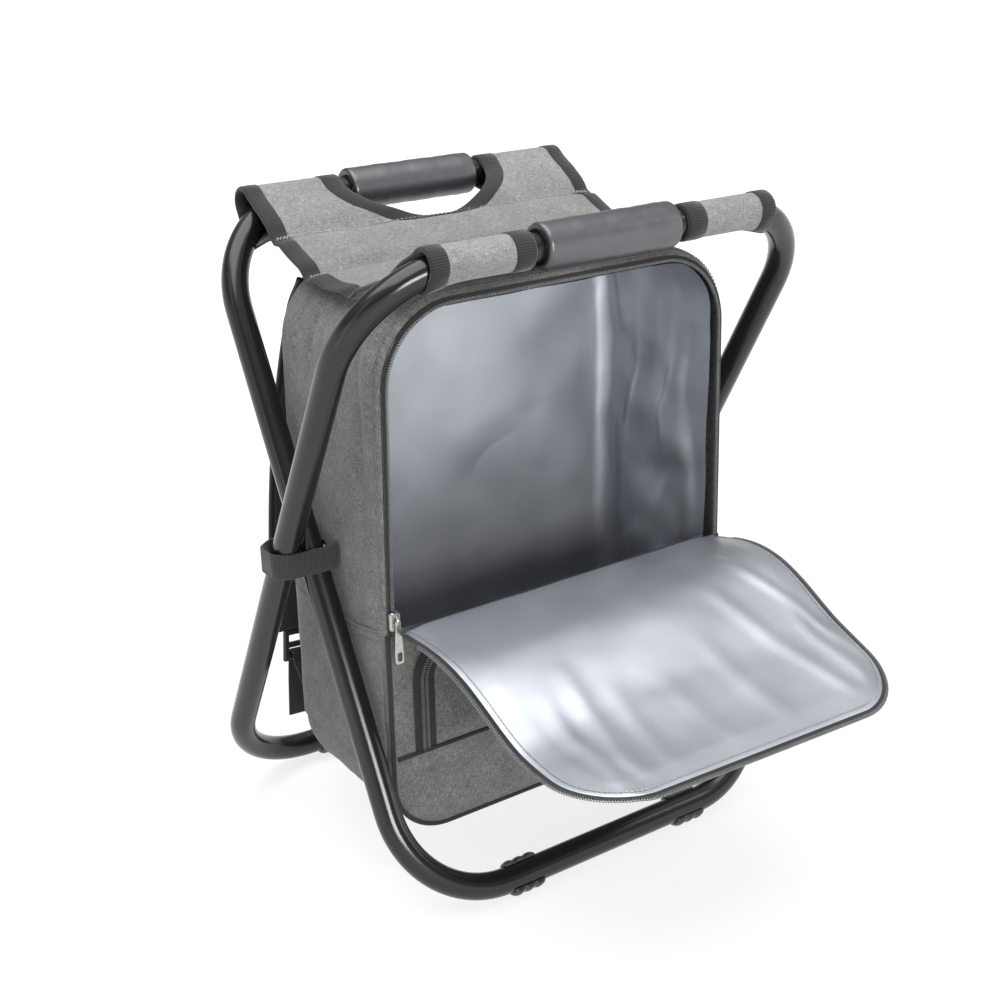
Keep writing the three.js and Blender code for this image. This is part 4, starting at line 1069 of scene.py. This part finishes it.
hem_tape = Piece().rod(swept(hem, flat_section(2.6, 3.2, 1.0), (0, 0, 1)))
hem_tape.place("pocket_hem", BINDING, "black_webbing", sharp=60)

# Slip pockets on the sides, their hemmed tops a little open
across = np.linspace(-1, 1, 50)
bow = 1 - across**2
share = np.linspace(0, 1, 36)[:, None]
gap = (0.9 + 2.0 * share**3 * bow) * clamp((1 - np.abs(across)) * 10)
patch_y = 0.5 * (BAG_FRONT + BAG_REAR) + SIDE_POCKET_HALF * across
patch_z = SIDE_POCKET_BOTTOM + (SIDE_POCKET_TOP - 7.0 * bow - SIDE_POCKET_BOTTOM) * share
for name, side in SIDES:
    rows = xyz(BAG_HALF + 0.2 + gap, patch_y, patch_z)
    rows[..., 0] += 0.5 * ripple(rows, 30.0, 13 + side, 2)
    rows[..., 0] *= side
    patch = Piece().grid(rows, uv=rows[..., [1, 2]])
    patch = patch.place(f"side_pocket_{name}_cloth", BAG_WEAVE, "bag_cloth", f"side_pocket_{name}",
                        thickness=0.9, offset=0.0)
    hem = Piece().rod(swept(rows[-1] - (0, 0, 0.4), circle(0.9, 8), (0, 0, 1)))
    stitches(hem, rows[-1] + (side * 0.8, 0, -7.0), (side, 0, 0), 3.0, 2.0, 0.3, 0.25)
    hem.place(f"side_pocket_{name}_hem", GREY_THREAD, "bag_cloth")

# Keepers: webbing round the crossed legs at the pivot
KEEPER_HALF = ((140.0, 12.0), (140.0, 16.6), (150.0, 16.6), (174.0, 15.2), (183.2, 8.6))
keeper_route = [*KEEPER_HALF, *[(x, -y) for x, y in reversed(KEEPER_HALF)]]
for name, side in SIDES:
    line = resampled(rounded_line([(side * x, y, 0.0) for x, y in keeper_route], 3.0), 90)
    rings = swept(line, flat_section(1.6, 17.0, 0.3), (0, 0, 1))
    rings[..., 2] *= 1 + 0.05 * ripple(line, 14.0, 15, 1)[:, None]
    keeper = Piece().rod(rings)
    keeper.place(f"keeper_{name}_webbing", WEBBING, "black_webbing", f"keeper_{name}", sharp=60)

# Shoulder straps: padded lengths with bound edges, ladder locks and adjusting webbing
STRAP_TOP = np.array((BACK_Y + 4.3, 163.0))
STRAP_BOW = np.array((BACK_Y + 54.3, 40.0))
STRAP_END = np.array((BACK_Y + 38.0, -104.0))
LOCK_TOP = -104.6
LOCK_LOW = LOCK_TOP - 24.0
LOCK_HALF = 15.0
WEB_OFF = 3.7  # from the lock's middle to the webbing's
SLOT_Z = LOCK_TOP - 17.0


def splayed(points, side):
    """Turns a strap drawn upright at x = 0 so that its lower end goes outward."""
    x, y, z = np.moveaxis(points, -1, 0)
    c, s = cos(STRAP_SPLAY), side * sin(STRAP_SPLAY)
    return xyz(side * STRAP_X + c * x - s * z, y, s * x + c * z)


t = np.linspace(0, 1, 60)[:, None]
strap_line = (1 - t) ** 2 * STRAP_TOP + 2 * t * (1 - t) * STRAP_BOW + t**2 * STRAP_END
strap_path = xyz(0.0, strap_line[:, 0] - 6.0 * bell(t[:, 0], 0.05), strap_line[:, 1])
taper = 1 - 0.18 * clamp((t - 0.75) / 0.25) ** 2
plump = 0.45 + 0.55 * clamp(np.sin(pi * clamp(t * 1.02)) * 3)
cosine, sine = circle(1.0, 40).T
wide = STRAP_HALF * taper * np.sign(cosine) * np.abs(cosine) ** 0.45
deep = 3.9 * plump * np.sign(sine) * np.abs(sine) ** 0.75
lock_y = STRAP_END[0]
web_low = BACK_Y + 1.1
web_front, web_back = lock_y - WEB_OFF, lock_y + WEB_OFF
web_route = [(web_low, -167), (web_low, -158), (web_front, LOCK_LOW), (web_front, SLOT_Z),
             (web_back, SLOT_Z), (web_back + 0.5, SLOT_Z - 24), (web_back - 0.6, SLOT_Z - 54)]
web_line = resampled(rounded_line([(0, y, z) for y, z in web_route], 2.2), 90)
for name, side in SIDES:
    strap = Piece().rod(splayed(swept(strap_path, np.stack([deep, wide], axis=-1), (1, 0, 0)), side))
    strap = strap.place(f"strap_{name}_padded", STRAP_MESH, "black_webbing", f"strap_{name}")
    edges = Piece()
    for edge in (-1, 1):
        line = strap_path + edge * 24.2 * taper * (1, 0, 0)
        edges.rod(splayed(swept(line, flat_section(4.2, 3.4, 0.9), (1, 0, 0)), side))
    edges.place(f"strap_{name}_binding", BINDING, "black_webbing", sharp=60)

    lock = Piece()
    for z in (LOCK_LOW + 2, LOCK_LOW + 12, LOCK_LOW + 22):
        bar = np.linspace((-LOCK_HALF, lock_y, z), (LOCK_HALF, lock_y, z), 8)
        lock.rod(splayed(swept(bar, flat_section(3.5, 4.0, 0.8), (0, 0, 1)), side))
    for x in (-LOCK_HALF, LOCK_HALF):
        post = np.linspace((x, lock_y, LOCK_LOW), (x, lock_y, LOCK_TOP), 8)
        lock.rod(splayed(swept(post, flat_section(3.6, 4.0, 0.8), (1, 0, 0)), side))
    lock.place(f"ladder_lock_{name}_moulded", BLACK_PLASTIC, "black_plastic", f"ladder_lock_{name}", sharp=50)

    adjuster = Piece().rod(splayed(swept(web_line, flat_section(1.5, 22.0, 0.3), (1, 0, 0)), side))
    adjuster.place(f"strap_{name}_adjuster", WEBBING, "black_webbing", f"strap_webbing_{name}", sharp=60)

# Stage
scene = bpy.context.scene
floor_mesh = bpy.data.meshes.new("floor")
floor_mesh.from_pydata([(-20, -10, 0), (20, -10, 0), (20, 30, 0), (-20, 30, 0)], [], [(0, 1, 2, 3)])
floor = add_object("floor", floor_mesh)
pale = new_material("pale_floor")
pale.set(Base_Color=(0.23, 0.23, 0.23, 1.0), Roughness=0.8, Specular_IOR_Level=0.1)
reach = pale.node("VectorMath", "Value", [("operation", "LENGTH")], Vector=pale.spot())
pale.set(Emission_Color=(1.0, 1.0, 1.0, 1.0), Emission_Strength=pale.levels(reach, 0.78, 1.0, 0.4, 1.4))
floor_mesh.materials.append(pale.owner)

# Sky: white at the horizon, dim above it and brighter overhead
SKY = ((0.0, 1.0), (0.19, 1.0), (0.29, 0.16), (0.85, 0.8))
sky = Shader(bpy.data.worlds.new("studio"), "Background")
height = sky.node("SeparateXYZ", "Z", Vector=sky.node("TexCoord", "Generated"))
sky.set(Color=sky.ramp(height, [(place, (level,) * 3) for place, level in SKY]))
scene.world = sky.owner


def softbox(name, place, aim, size, power):
    light = bpy.data.lights.new(name, "AREA")
    light.shape = "RECTANGLE"
    light.size, light.size_y = size
    light.energy = power
    lamp = add_object(name, light)
    lamp.location = place
    lamp.rotation_euler = (Vector(aim) - Vector(place)).to_track_quat("-Z", "Y").to_euler()


softbox("key", (-0.3, 0.0, 2.2), (0, 0.05, 0.3), (2.4, 2.4), 62)
softbox("front", (-0.35, -2.2, 0.8), (0, 0.0, 0.25), (1.0, 0.6), 36)
softbox("left_strip", (-1.5, -0.1, 0.75), (0, 0.05, 0.25), (0.2, 1.5), 1.0)
softbox("right_strip", (1.3, -0.9, 0.9), (0, 0.0, 0.25), (0.2, 1.4), 4)

# Camera
EYE = (-574.38, -841.72, 411.71)
YAW, PITCH, ROLL = 0.5966, 0.3849, -0.0181
camera_data = bpy.data.cameras.new("camera")
camera_data.lens = 56.6
camera_data.sensor_width = 36.0
camera = add_object("camera", camera_data)
aim = Euler((pi / 2 - PITCH, 0, -YAW)).to_matrix() @ Matrix.Rotation(ROLL, 3, "Z")
camera.matrix_world = Matrix.Translation(Vector(row_frame(EYE))) @ aim.to_4x4()
scene.camera = camera
scene.render.resolution_x = scene.render.resolution_y = 1000
scene.view_settings.view_transform = "Standard"
